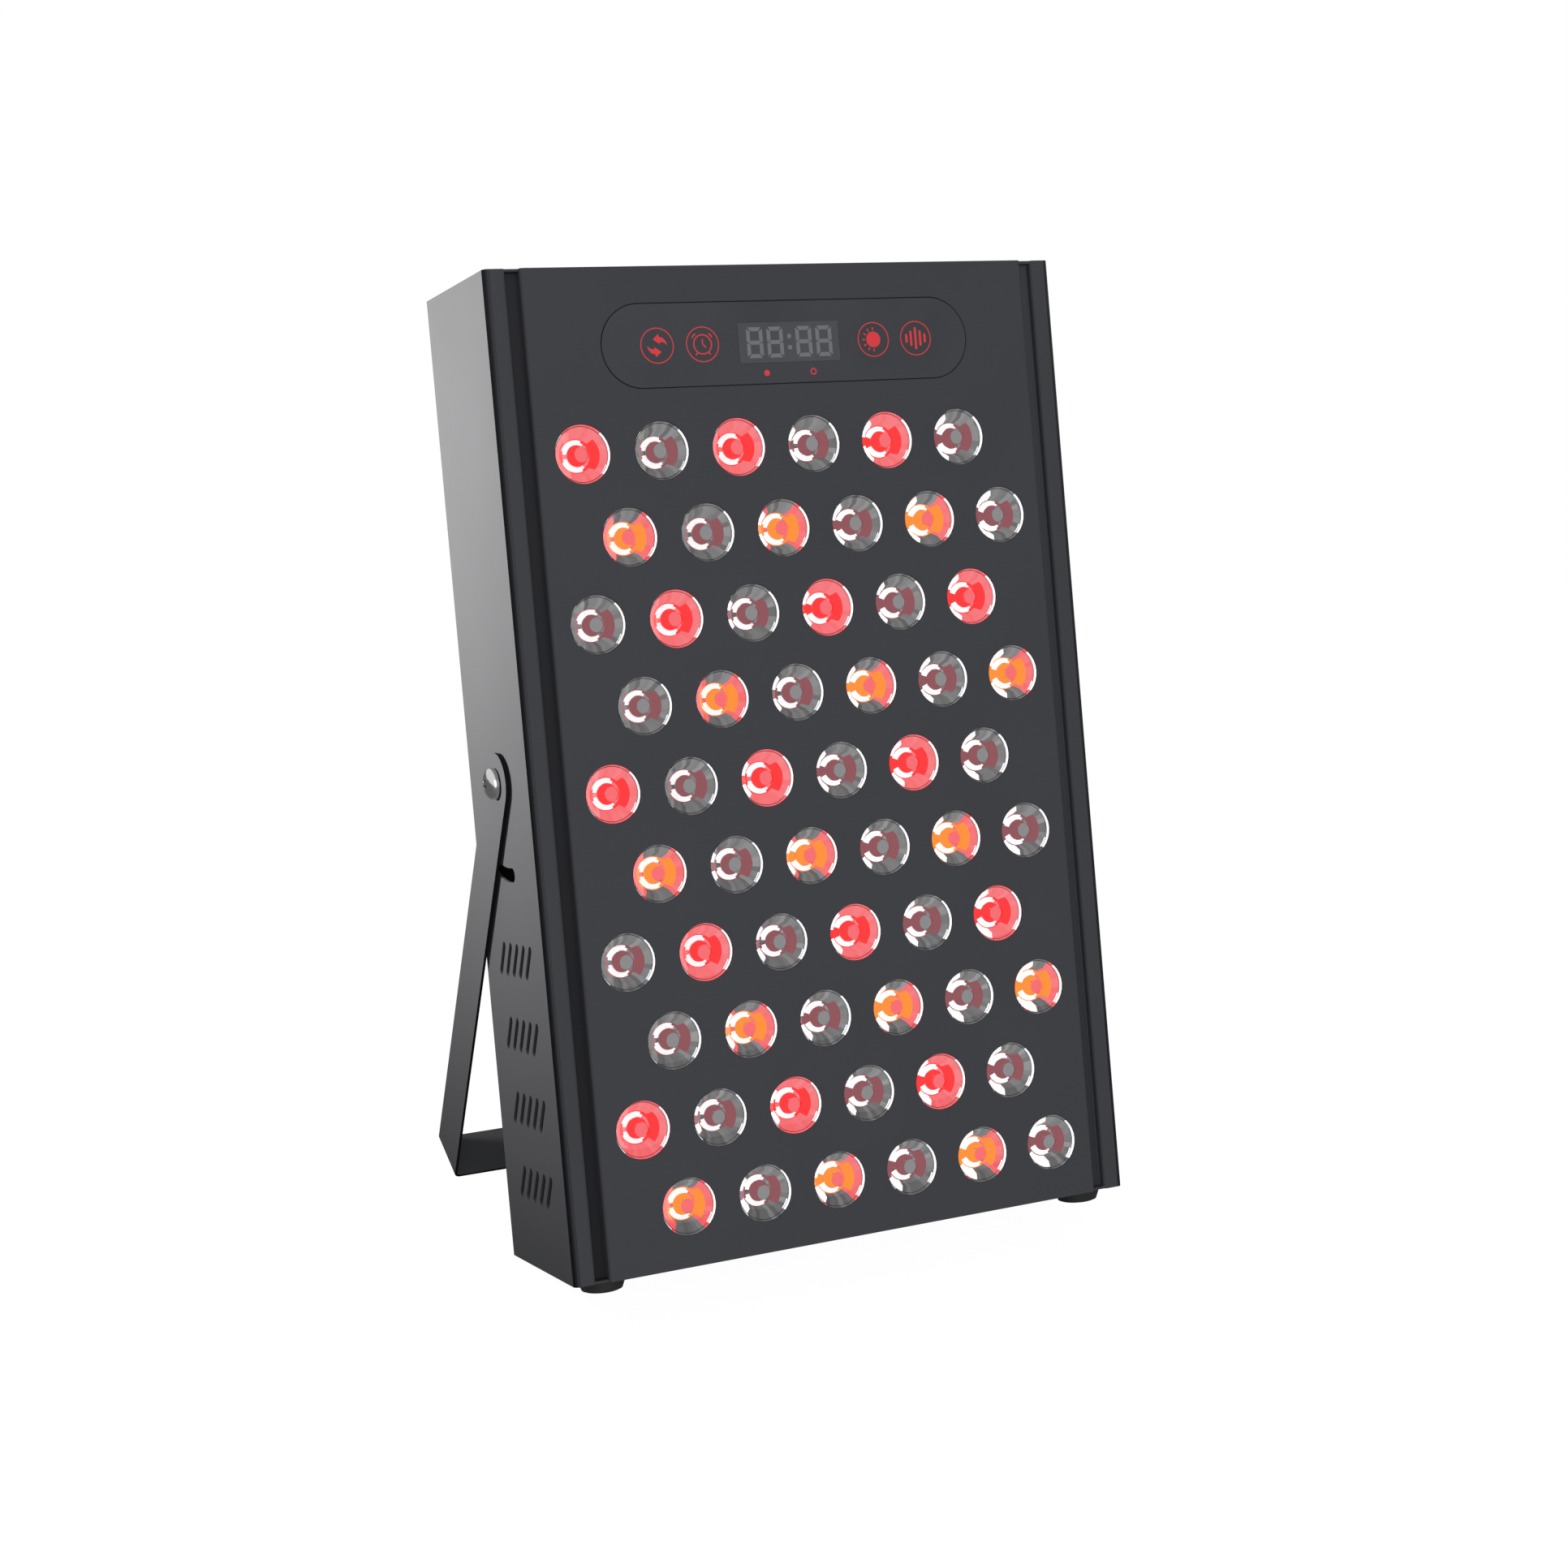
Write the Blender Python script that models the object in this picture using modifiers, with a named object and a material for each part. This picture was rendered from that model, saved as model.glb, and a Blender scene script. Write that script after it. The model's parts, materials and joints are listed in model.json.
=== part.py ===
"""Red light therapy panel: sixty lensed LEDs in a folded steel housing, held by a U-shaped stand.

Units are metres and +Z is up. Every piece is modelled in the panel's own frame: X to the right, Y to
the back with the front strips at zero, and Z up along the front plate from the bottom wall. That frame
leans back until the rear feet and the stand's crossbar meet the floor.
"""

from math import asin, atan2, ceil, cos, degrees, floor, hypot, pi, radians, sin

import bmesh
import bpy
from mathutils import Matrix

# Housing
BODY_WIDTH = 0.2105
BODY_HEIGHT = 0.3333
BODY_DEPTH = 0.0637
SHEET = 0.001
CORNER_BEND = 0.002
INNER_BEND = 0.0003
SEAM = 0.00005
STRIP_WIDTH = 0.0074
GROOVE_WIDTH = 0.0046
GROOVE_DEPTH = 0.003
LEDGE_WIDTH = 0.005
TAB_LENGTH = 0.010
TAB_HEIGHT = 0.012
TAB_THICKNESS = 0.0015
TAB_MARGIN = 0.014

# Clearances shared by all pieces
SEAT = 0.0003
OVERRUN = 0.002
WELD = 0.000001

# Lenses and LED boards
LENS_PITCH = 0.028
LENS_HOLE_RADIUS = 0.00975
LENS_EDGE_MARGIN = 0.0055
BOTTOM_ROW_HEIGHT = 0.02033
TOP_ROW_GAP = 0.0195
LENS_HEIGHT = 0.0116
LENS_RECESS = 0.0004
LENS_BASE_RADIUS = 0.0046
BOARD_THICKNESS = 0.0016
BOARD_MARGIN = 0.012
BOARD_GAP = 0.001
STUD_RADIUS = 0.0025
STUD_PITCH_SHARE = 0.75

# Controls in the front plate
OVERLAY_WIDTH = 0.1366
OVERLAY_HEIGHT = 0.0283
OVERLAY_DROP = 0.0263
OVERLAY_SHIFT = 0.0008
OVERLAY_FLANGE = 0.003
OVERLAY_FLANGE_THICKNESS = 0.0012
WINDOW_WIDTH = 0.0377
WINDOW_HEIGHT = 0.0138
DISPLAY_DEPTH = 0.0039
DISPLAY_MARGIN = 0.0008
CONTROL_BOARD_MARGIN = 0.007

# Heat sink
SINK_MARGIN = 0.013
SINK_BASE = 0.003
FIN_THICKNESS = 0.0016
FIN_PITCH = 0.0138
FIN_CLEARANCE = 0.004

# Feet
FOOT_HEIGHT = 0.0045
FOOT_TOP_RADIUS = 0.0083
FOOT_BOTTOM_RADIUS = 0.0073
FOOT_EDGE = 0.0012
FOOT_SIDE_MARGIN = 0.013
FOOT_SPREAD = 0.037
FOOT_COUNTERBORE_DEPTH = 0.0026

# Stand and its pivots
PIVOT_DEPTH = 0.0293
STAND_ANGLE = radians(35.65)
STAND_FORWARD = radians(-5)
STAND_BACK = radians(45)
STAND_WIDTH = 0.0205
STAND_SHEET = 0.001
STAND_BEND = 0.0022
BAR_CLEARANCE = 0.0002
WASHER_THICKNESS = 0.0004
WASHER_RADIUS = 0.0055
PIVOT_SHANK_RADIUS = 0.0024
PIVOT_HEAD_RADIUS = 0.0053
PIVOT_HEAD_HEIGHT = 0.0038
PIVOT_NUT_RADIUS = 0.0046
PIVOT_NUT_THICKNESS = 0.004
PIVOT_SHANK_SPARE = 0.001
GUIDE_REAR_MARGIN = 0.01227
GUIDE_PIN_RADIUS = 0.0021
GUIDE_HEAD_RADIUS = 0.0034
GUIDE_HEAD_THICKNESS = 0.001
GUIDE_SOCKET_DEPTH = 0.0006
SLOT_CLEARANCE = 0.0003

# Vents in the side walls
VENT_GROUP_PITCH = 0.0258
VENT_GROUP_HEIGHT = 0.0118
VENT_EDGE_MARGIN = 0.0109
VENT_TOP_MARGIN = 0.006
VENT_BOTTOM = 0.0229
VENT_SLOT_WIDTH = 0.0027
VENT_SLOT_PITCH = 0.0068
VENT_SLOT_LEAN = radians(32)

# Fans and their grilles
FAN_SIZE = 0.08
FAN_DEPTH = 0.02
FAN_DUCT_RADIUS = 0.038
FAN_SPACING = 0.092
FAN_CORNER = 0.004
FAN_SCREW_SPACING = 0.0715
FAN_ARM_WIDTH = 0.004
FAN_SPIDER_DEPTH = 0.0035
FAN_TIP_CLEARANCE = 0.0012
FAN_FACE_CLEARANCE = 0.001
HUB_RADIUS = 0.0145
HUB_EDGE = 0.0015
BLADES = 7
BLADE_LEAD_SHARE = 0.78
BLADE_SWEEP = radians(14)
BLADE_THICKNESS = 0.001
GRILLE_RINGS = 4
GRILLE_SLOT = 0.0042
GRILLE_RIB = 0.0024
GRILLE_CENTRE = 0.0107

# Drivers
DRIVER_LENGTH = 0.15
DRIVER_DEPTH = 0.024
DRIVER_EDGE = 0.002
DRIVER_EAR = 0.008
DRIVER_BASE = 0.0012
DRIVER_FAN_GAP = 0.003
DRIVER_TAB_GAP = 0.00925

# Power inlet and switch
POWER_HEIGHT = 0.032
POWER_SPACING = 0.05
INLET_WIDTH = 0.027
INLET_HEIGHT = 0.0198
INLET_DEPTH = 0.021
INLET_FLANGE = 0.0021
INLET_PROUD = 0.0018
INLET_WALL = 0.0016
INLET_CHAMFER = 0.004
INLET_CAVITY_DEPTH = 0.016
PRONG_THICKNESS = 0.002
PRONG_HEIGHT = 0.004
PRONG_SPACING = 0.014
PRONG_LENGTH = 0.013
SWITCH_WIDTH = 0.013
SWITCH_HEIGHT = 0.0192
SWITCH_DEPTH = 0.018
SWITCH_FLANGE = 0.001
SWITCH_PROUD = 0.0016
SWITCH_WALL = 0.0012
ROCKER_TILT = radians(8)
ROCKER_CROWN = 0.0022
ROCKER_WAIST = 0.001
ROCKER_KEEL = 0.004
ROCKER_KEEL_SHARE = 0.75

# Small screws
SCREW_RADIUS = 0.0015
SCREW_HEAD_RADIUS = 0.003
SCREW_HEAD_HEIGHT = 0.0014
SCREW_LENGTH = 0.006

# Facets of round shapes
DUCT_SIDES = 20
ROUND_SIDES = 12
LENS_SIDES = 10
SMALL_SIDES = 10
SCREW_SIDES = 8
HEX_SIDES = 6
CORNER_SIDES = 2
VENT_END_SIDES = 2
SLOT_STEPS = 5
DOME_STEPS = 3
SMOOTH_ANGLE = radians(40)
BLADE_SPANS = 1
BLADE_CHORDS = 3

# Sizes and places that follow from the ones above
HALF_WIDTH = BODY_WIDTH / 2
GROOVE_EDGE = HALF_WIDTH - STRIP_WIDTH
PLATE_HALF = GROOVE_EDGE - GROOVE_WIDTH
LEDGE_EDGE = PLATE_HALF - LEDGE_WIDTH
OVERLAY_CENTRE = BODY_HEIGHT - OVERLAY_DROP
LENS_RADIUS = LENS_HOLE_RADIUS - 2 * SEAT
LENS_FRONT = LENS_RECESS - SHEET
LENS_BASE = LENS_FRONT + LENS_HEIGHT
BOARD_FRONT = LENS_BASE
SINK_FRONT = BOARD_FRONT + BOARD_THICKNESS + SEAT
COVER_FRONT = BODY_DEPTH - SHEET
INSIDE_REAR = COVER_FRONT - SEAT
FIN_TIP = INSIDE_REAR - DRIVER_DEPTH - FIN_CLEARANCE
LENS_FIELD_HEIGHT = OVERLAY_CENTRE - OVERLAY_HEIGHT / 2 - TOP_ROW_GAP - BOTTOM_ROW_HEIGHT
LENS_FIELD_WIDTH = 2 * (PLATE_HALF - LENS_EDGE_MARGIN - LENS_HOLE_RADIUS) - LENS_PITCH / 2
LENS_ROWS = 1 + floor(LENS_FIELD_HEIGHT / LENS_PITCH)
LENS_COLUMNS = 1 + floor(LENS_FIELD_WIDTH / LENS_PITCH)
LENS_SPAN = (LENS_COLUMNS - 1) * LENS_PITCH
PIVOT_HEIGHT = BODY_HEIGHT / 2
FOOT_SIDE = HALF_WIDTH - FOOT_SIDE_MARGIN
FOOT_DEPTHS = (PIVOT_DEPTH - FOOT_SPREAD / 2, PIVOT_DEPTH + FOOT_SPREAD / 2)
LEG_INNER = HALF_WIDTH + WASHER_THICKNESS + 2 * SEAT
LEG_OUTER = LEG_INNER + STAND_SHEET
FAN_HEIGHTS = (PIVOT_HEIGHT - FAN_SPACING / 2, PIVOT_HEIGHT + FAN_SPACING / 2)
FAN_FRONT = INSIDE_REAR - FAN_DEPTH
SMALL_HOLE_RADIUS = SCREW_RADIUS + SEAT
PIVOT_HOLE_RADIUS = PIVOT_SHANK_RADIUS + SEAT
TAB_HEIGHTS = (TAB_MARGIN, PIVOT_HEIGHT, BODY_HEIGHT - TAB_MARGIN)
TAB_SIDE = HALF_WIDTH - SHEET - TAB_LENGTH / 2
WALL_FRONT = SHEET / 2
DRIVER_INNER = FAN_SIZE / 2 + DRIVER_FAN_GAP
DRIVER_OUTER = TAB_SIDE - TAB_LENGTH / 2 - DRIVER_TAB_GAP
GUIDE_RADIUS = (BODY_DEPTH - PIVOT_DEPTH - GUIDE_REAR_MARGIN) / sin(STAND_BACK)
GUIDE_SLOT_HALF = GUIDE_PIN_RADIUS + SLOT_CLEARANCE
VENT_GROUP_DEPTH = BODY_DEPTH - 2 * VENT_EDGE_MARGIN
VENT_FIELD = PIVOT_HEIGHT - GUIDE_RADIUS - GUIDE_SLOT_HALF - VENT_TOP_MARGIN - VENT_BOTTOM
VENT_GROUPS = 1 + floor((VENT_FIELD - VENT_GROUP_HEIGHT) / VENT_GROUP_PITCH)

# How a flat outline, drawn in X and Y, is turned into the panel
FACING_FRONT = (pi / 2, 0, 0)
FACING_SIDE = (pi / 2, 0, pi / 2)
LYING = (0, 0, 0)


def clear_scene():
    for item in list(bpy.data.objects):
        bpy.data.objects.remove(item)


def new_collection(name):
    made = bpy.data.collections.new(name)
    bpy.context.scene.collection.children.link(made)
    return made


def finish(name, colour, roughness, metallic):
    """A material with one Principled BSDF."""
    made = bpy.data.materials.new(name)
    made.use_nodes = True
    made.diffuse_color = (*colour, 1)
    shader = made.node_tree.nodes["Principled BSDF"]
    shader.inputs["Base Color"].default_value = (*colour, 1)
    shader.inputs["Roughness"].default_value = roughness
    shader.inputs["Metallic"].default_value = metallic
    return made


def new_empty(name, parent=None, place=(0, 0, 0), turn=(0, 0, 0)):
    made = bpy.data.objects.new(name, None)
    PARTS.objects.link(made)
    made.parent = parent
    made.location = place
    made.rotation_euler = turn
    return made


def new_piece(name, mesh, parent, place, turn, material):
    made = bpy.data.objects.new(name, mesh)
    PARTS.objects.link(made)
    made.parent = parent
    made.location = place
    made.rotation_euler = turn
    if material:
        mesh.materials.clear()
        mesh.materials.append(material)
    return made


def evaluated_mesh(item):
    """The mesh that a curve or an object with modifiers makes, its loose caps welded."""
    graph = bpy.context.evaluated_depsgraph_get()
    mesh = bpy.data.meshes.new_from_object(item.evaluated_get(graph))
    shape = bmesh.new()
    shape.from_mesh(mesh)
    bmesh.ops.remove_doubles(shape, verts=shape.verts, dist=WELD)
    bmesh.ops.recalc_face_normals(shape, faces=shape.faces)
    shape.to_mesh(mesh)
    shape.free()
    bpy.data.objects.remove(item)
    return mesh


def rounded(mesh):
    mesh.shade_smooth()
    mesh.set_sharp_from_angle(angle=SMOOTH_ANGLE)
    return mesh


def combine(target, operand, operation):
    """A Boolean with a helper object, which is then hidden."""
    PARTS.objects.unlink(operand)
    CUTTERS.objects.link(operand)
    operand.hide_render = True
    operand.display_type = "WIRE"
    step = target.modifiers.new(operand.name, "BOOLEAN")
    step.operation = operation
    step.solver = "EXACT"
    step.object = operand


# Outlines, as lists of points


def arc(centre_x, centre_y, radius, start, end, steps):
    """Points on an arc, from the start angle to the end angle, both in radians."""
    angles = [start + (end - start) * i / steps for i in range(steps + 1)]
    return [(centre_x + radius * cos(a), centre_y + radius * sin(a)) for a in angles]


def circle(centre_x, centre_y, radius, sides):
    return arc(centre_x, centre_y, radius, 0, 2 * pi, sides)[:-1]


def rectangle(centre_x, centre_y, width, height, corner=0.0):
    """A rectangle, with rounded corners where a corner radius is given."""
    half_x = width / 2 - corner
    half_y = height / 2 - corner
    points = []
    for turn, (sign_x, sign_y) in enumerate(((1, 1), (-1, 1), (-1, -1), (1, -1))):
        x = centre_x + sign_x * half_x
        y = centre_y + sign_y * half_y
        if corner:
            points += arc(x, y, corner, turn * pi / 2, (turn + 1) * pi / 2, CORNER_SIDES)
        else:
            points.append((x, y))
    return points


def oval(centre_x, centre_y, width, height, lean=0.0, sides=ROUND_SIDES):
    """A slot with full-round ends, its long side leaning by an angle from the X axis."""
    reach = (width - height) / 2
    points = []
    for side in (0, 1):
        end_x = centre_x + reach * cos(lean + side * pi)
        end_y = centre_y + reach * sin(lean + side * pi)
        start = lean + side * pi - pi / 2
        points += arc(end_x, end_y, height / 2, start, start + pi, sides // 2)
    return points


def curved_slot(centre_x, centre_y, radius, width, start, end, steps):
    """A slot along an arc, with square ends."""
    outer = arc(centre_x, centre_y, radius + width / 2, start, end, steps)
    inner = arc(centre_x, centre_y, radius - width / 2, end, start, steps)
    return outer + inner


def moved(points, shift_x, shift_y):
    return [(x + shift_x, y + shift_y) for x, y in points]


# Ways of making a shape


def flat(name, outlines, thickness, parent, place, turn, material=None):
    """Closed outlines filled and given a thickness: the first one is the edge and the rest are holes."""
    curve = bpy.data.curves.new(name, "CURVE")
    curve.dimensions = "2D"
    curve.fill_mode = "BOTH"
    curve.extrude = thickness / 2
    for points in outlines:
        line = curve.splines.new("POLY")
        line.points.add(len(points) - 1)
        for point, (x, y) in zip(line.points, points):
            point.co = (x, y, 0, 1)
        line.use_cyclic_u = True
    guide = bpy.data.objects.new(name + "_outline", curve)
    PARTS.objects.link(guide)
    mesh = rounded(evaluated_mesh(guide))
    mesh.name = name
    return new_piece(name, mesh, parent, place, turn, material)


def turned(name, profile, sides, parent, place, turn, material=None, ring=False):
    """A profile of radius and height, given down its outer side, turned about the local Z axis."""
    mesh = bpy.data.meshes.new(name)
    count = len(profile)
    edges = [(i, i + 1) for i in range(count - 1)]
    if ring:
        edges.append((count - 1, 0))
    mesh.from_pydata([(radius, 0, height) for radius, height in profile], edges, [])
    guide = bpy.data.objects.new(name + "_profile", mesh)
    PARTS.objects.link(guide)
    screw = guide.modifiers.new("turn", "SCREW")
    screw.steps = sides
    screw.render_steps = sides
    screw.use_merge_vertices = True
    screw.merge_threshold = WELD
    solid = rounded(evaluated_mesh(guide))
    solid.name = name
    return new_piece(name, solid, parent, place, turn, material)


def folded(name, section, bends, low, high, thickness, parent, material=None):
    """Sheet folded along a section of X and Y points, between two heights, its outer face on the section.

    The bends list gives the outer face's radius at each point between the section's ends. At a fold
    that turns towards the sheet's inner face it is more than the thickness.
    """
    shape = bmesh.new()
    weights = shape.edges.layers.float.new("bevel_weight_edge")
    lower = [shape.verts.new((x, y, low)) for x, y in section]
    upper = [shape.verts.new((x, y, high)) for x, y in section]
    for i in range(len(section) - 1):
        shape.faces.new((lower[i], upper[i], upper[i + 1], lower[i + 1]))
    widest = max(bends)
    for i, bend in enumerate(bends, start=1):
        shape.edges.get((lower[i], upper[i]))[weights] = bend / widest
    mesh = bpy.data.meshes.new(name)
    shape.to_mesh(mesh)
    shape.free()
    made = new_piece(name, mesh, parent, (0, 0, 0), LYING, material)
    bend = made.modifiers.new("folds", "BEVEL")
    bend.limit_method = "WEIGHT"
    bend.width = widest
    bend.segments = CORNER_SIDES
    wall = made.modifiers.new("sheet", "SOLIDIFY")
    wall.thickness = thickness
    wall.offset = -1
    wall.use_even_offset = True
    return made


def box(name, low, high, parent, material=None, edge=0.0):
    """A block between two corners, its edges rounded where a radius is given."""
    shape = bmesh.new()
    size = [b - a for a, b in zip(low, high)]
    bmesh.ops.create_cube(shape, size=1, matrix=Matrix.Diagonal((*size, 1)))
    mesh = bpy.data.meshes.new(name)
    shape.to_mesh(mesh)
    shape.free()
    middle = [(a + b) / 2 for a, b in zip(low, high)]
    made = new_piece(name, mesh, parent, middle, LYING, material)
    if edge:
        bevel = made.modifiers.new("edges", "BEVEL")
        bevel.width = edge
        bevel.segments = 2
    return made


def repeated(name, source, places, parent):
    """Copies of a helper's mesh at several places, in one object; the helper is removed."""
    shape = bmesh.new()
    for place in places:
        before = len(shape.verts)
        shape.from_mesh(source.data)
        shape.verts.ensure_lookup_table()
        bmesh.ops.transform(
            shape,
            matrix=Matrix.Translation(place) @ source.rotation_euler.to_matrix().to_4x4(),
            verts=shape.verts[before:],
        )
    mesh = bpy.data.meshes.new(name)
    shape.to_mesh(mesh)
    shape.free()
    bpy.data.objects.remove(source)
    return new_piece(name, mesh, parent, (0, 0, 0), LYING, None)


# Places of the lenses, the studs and the foot's outline, which several pieces share


def lens_rows():
    """Each row from the top down: its height and the X of its lenses, staggered by half a pitch."""
    rows = []
    for row in range(LENS_ROWS):
        height = BOTTOM_ROW_HEIGHT + (LENS_ROWS - 1 - row) * LENS_PITCH
        shift = (-LENS_PITCH if row % 2 == 0 else LENS_PITCH) / 4
        places = [shift - LENS_SPAN / 2 + column * LENS_PITCH for column in range(LENS_COLUMNS)]
        rows.append((height, places))
    return rows


def board_rows():
    """The rows of the upper and of the lower LED board."""
    rows = lens_rows()
    half = ceil(len(rows) / 2)
    return {"upper": rows[:half], "lower": rows[half:]}


def stud_places(rows):
    """The free corners of a board's stagger, at its first two and last two rows."""
    places = []
    for height, lenses in dict(rows[:2] + rows[-2:]).items():
        low_end = lenses[0]
        high_end = lenses[-1]
        step = STUD_PITCH_SHARE * LENS_PITCH
        side = high_end + step if -low_end > high_end else low_end - step
        places.append((side, height))
    return places


def control_stud_places():
    side = OVERLAY_WIDTH / 2 + OVERLAY_FLANGE + STUD_RADIUS + SEAT
    return [(OVERLAY_SHIFT + sign * side, OVERLAY_CENTRE) for sign in (-1, 1)]


def foot_profile():
    """Radius and height of the foot's outer side, from its top face down to its rounded edge."""
    top = -SEAT
    centre_radius = FOOT_BOTTOM_RADIUS - FOOT_EDGE
    centre_height = FOOT_EDGE - FOOT_HEIGHT
    edge = arc(centre_radius, centre_height, FOOT_EDGE, 0, -pi / 2, CORNER_SIDES)
    return [(FOOT_TOP_RADIUS, top), *edge]


def leg_length():
    """From the pivot to the crossbar's inner face, so that the bar swings past the feet."""
    return BAR_CLEARANCE + max(
        hypot(abs(depth - PIVOT_DEPTH) + radius, PIVOT_HEIGHT - height)
        for depth in FOOT_DEPTHS
        for radius, height in foot_profile()
    )


def resting_lean():
    """The angle by which the panel leans back onto its rear feet and the crossbar."""
    length = leg_length() + STAND_SHEET
    bar = [
        (
            PIVOT_DEPTH + length * sin(STAND_ANGLE) + side * STAND_WIDTH / 2 * cos(STAND_ANGLE),
            PIVOT_HEIGHT - length * cos(STAND_ANGLE) + side * STAND_WIDTH / 2 * sin(STAND_ANGLE),
        )
        for side in (-1, 1)
    ]
    foot = [(FOOT_DEPTHS[1] + radius, height) for radius, height in foot_profile()]
    return max(min(atan2(bar_z - z, bar_y - y) for bar_y, bar_z in bar) for y, z in foot)


def panel_place(lean):
    """Where the leaning frame goes, so that the box round the object stands on the floor about the origin."""
    floor_level = min(
        height * cos(lean) - (FOOT_DEPTHS[1] + radius) * sin(lean) for radius, height in foot_profile()
    )
    front = -SHEET * cos(lean)
    rear = BODY_DEPTH * cos(lean) + BODY_HEIGHT * sin(lean)
    return (0, -(front + rear) / 2, -floor_level)


# The pieces


def side_openings():
    """The pivot hole, the arc slot and the vents, which go through both side walls alike."""
    outlines = [circle(PIVOT_DEPTH, PIVOT_HEIGHT, PIVOT_HOLE_RADIUS, SMALL_SIDES)]
    spare = asin(GUIDE_SLOT_HALF / GUIDE_RADIUS)
    down = -pi / 2
    outlines.append(
        curved_slot(
            PIVOT_DEPTH,
            PIVOT_HEIGHT,
            GUIDE_RADIUS,
            2 * GUIDE_SLOT_HALF,
            down + STAND_FORWARD - spare,
            down + STAND_BACK + spare,
            SLOT_STEPS,
        )
    )
    slot_length = (VENT_GROUP_HEIGHT - VENT_SLOT_WIDTH) / cos(VENT_SLOT_LEAN) + VENT_SLOT_WIDTH
    lean_width = (slot_length - VENT_SLOT_WIDTH) * sin(VENT_SLOT_LEAN) + VENT_SLOT_WIDTH
    slots = 1 + floor((VENT_GROUP_DEPTH - lean_width) / VENT_SLOT_PITCH)
    middle_depth = BODY_DEPTH / 2
    for group in range(VENT_GROUPS):
        height = VENT_BOTTOM + VENT_GROUP_HEIGHT / 2 + group * VENT_GROUP_PITCH
        for slot in range(slots):
            depth = middle_depth + (slot - (slots - 1) / 2) * VENT_SLOT_PITCH
            outlines.append(
                oval(depth, height, slot_length, VENT_SLOT_WIDTH, pi / 2 + VENT_SLOT_LEAN, 2 * VENT_END_SIDES)
            )
    return outlines


def wall_plan():
    """The top and bottom walls seen from above, welded in a little below the folded sheet's cut edges."""
    side = HALF_WIDTH - SHEET / 2
    corner = CORNER_BEND - SHEET / 2
    right = arc(side - corner, WALL_FRONT + corner, corner, -pi / 2, 0, CORNER_SIDES)
    left = [(-x, y) for x, y in reversed(right)]
    rear = BODY_DEPTH - SEAM
    return [*right, (side, rear), (-side, rear), *left]


def make_housing(panel):
    section = [
        (HALF_WIDTH, BODY_DEPTH),
        (HALF_WIDTH, 0),
        (GROOVE_EDGE, 0),
        (GROOVE_EDGE, GROOVE_DEPTH),
        (LEDGE_EDGE, GROOVE_DEPTH),
    ]
    bends = [CORNER_BEND, INNER_BEND + SHEET, INNER_BEND]
    housing = folded("housing", section, bends, 0, BODY_HEIGHT, SHEET, panel, STEEL)
    mirror = housing.modifiers.new("other side", "MIRROR")
    mirror.use_mirror_merge = False
    foot_holes = [
        circle(sign * FOOT_SIDE, depth, SMALL_HOLE_RADIUS, SCREW_SIDES)
        for sign in (-1, 1)
        for depth in FOOT_DEPTHS
    ]
    inset = SEAM + SHEET / 2
    for name, level, holes in (("bottom_wall", inset, foot_holes), ("top_wall", BODY_HEIGHT - inset, [])):
        wall = flat("housing_" + name, [wall_plan(), *holes], SHEET, panel, (0, 0, level), LYING)
        combine(housing, wall, "UNION")
    outlines = [
        rectangle(0, 0, TAB_LENGTH + SHEET, TAB_HEIGHT),
        circle(0, 0, SMALL_HOLE_RADIUS, SCREW_SIDES),
    ]
    tab = flat("housing_tab", outlines, TAB_THICKNESS, panel, (0, 0, 0), FACING_FRONT)
    tab_depth = INSIDE_REAR - TAB_THICKNESS / 2
    places = [(x, tab_depth, height) for x, height in cover_screw_places()]
    combine(housing, repeated("housing_tabs", tab, places, panel), "UNION")
    through = BODY_WIDTH + 2 * OVERRUN
    sides = flat("housing_side_openings", side_openings(), through, panel, (0, 0, 0), FACING_SIDE)
    combine(housing, sides, "DIFFERENCE")


def make_front_plate(panel):
    back = GROOVE_DEPTH - SEAT
    section = [(PLATE_HALF, back), (PLATE_HALF, -SHEET), (-PLATE_HALF, -SHEET), (-PLATE_HALF, back)]
    bends = [INNER_BEND + SHEET, INNER_BEND + SHEET]
    plate = folded("front_plate", section, bends, 0, BODY_HEIGHT, SHEET, panel, PLATE_PAINT)
    relief_front = WALL_FRONT - SEAT
    relief_rear = back + OVERRUN
    relief_height = 2 * (SEAM + SHEET + SEAT)
    reliefs = flat(
        "front_plate_reliefs",
        [
            rectangle(sign * PLATE_HALF, level, 2 * (SHEET + OVERRUN), relief_height)
            for sign in (-1, 1)
            for level in (0, BODY_HEIGHT)
        ],
        relief_rear - relief_front,
        panel,
        (0, (relief_front + relief_rear) / 2, 0),
        FACING_FRONT,
    )
    combine(plate, reliefs, "DIFFERENCE")
    root = -SHEET / 2
    studs = []
    for rows in board_rows().values():
        studs += [(x, z, SINK_FRONT - SEAT) for x, z in stud_places(rows)]
    control_front = control_board_front()
    studs += [(x, z, control_front - SEAT) for x, z in control_stud_places()]
    for number, (x, z, reach) in enumerate(studs, start=1):
        stud = flat(
            f"front_plate_stud_{number}",
            [circle(x, z, STUD_RADIUS, HEX_SIDES)],
            reach - root,
            panel,
            (0, (reach + root) / 2, 0),
            FACING_FRONT,
        )
        combine(plate, stud, "UNION")
    holes = [
        circle(x, height, LENS_HOLE_RADIUS, LENS_SIDES) for height, lenses in lens_rows() for x in lenses
    ]
    holes.append(oval(OVERLAY_SHIFT, OVERLAY_CENTRE, OVERLAY_WIDTH, OVERLAY_HEIGHT))
    openings = flat("front_plate_openings", holes, 2 * OVERRUN, panel, (0, -SHEET / 2, 0), FACING_FRONT)
    combine(plate, openings, "DIFFERENCE")


def control_board_front():
    overlay_back = SEAT + OVERLAY_FLANGE_THICKNESS
    return overlay_back + SEAT + DISPLAY_DEPTH + SEAT


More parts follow.
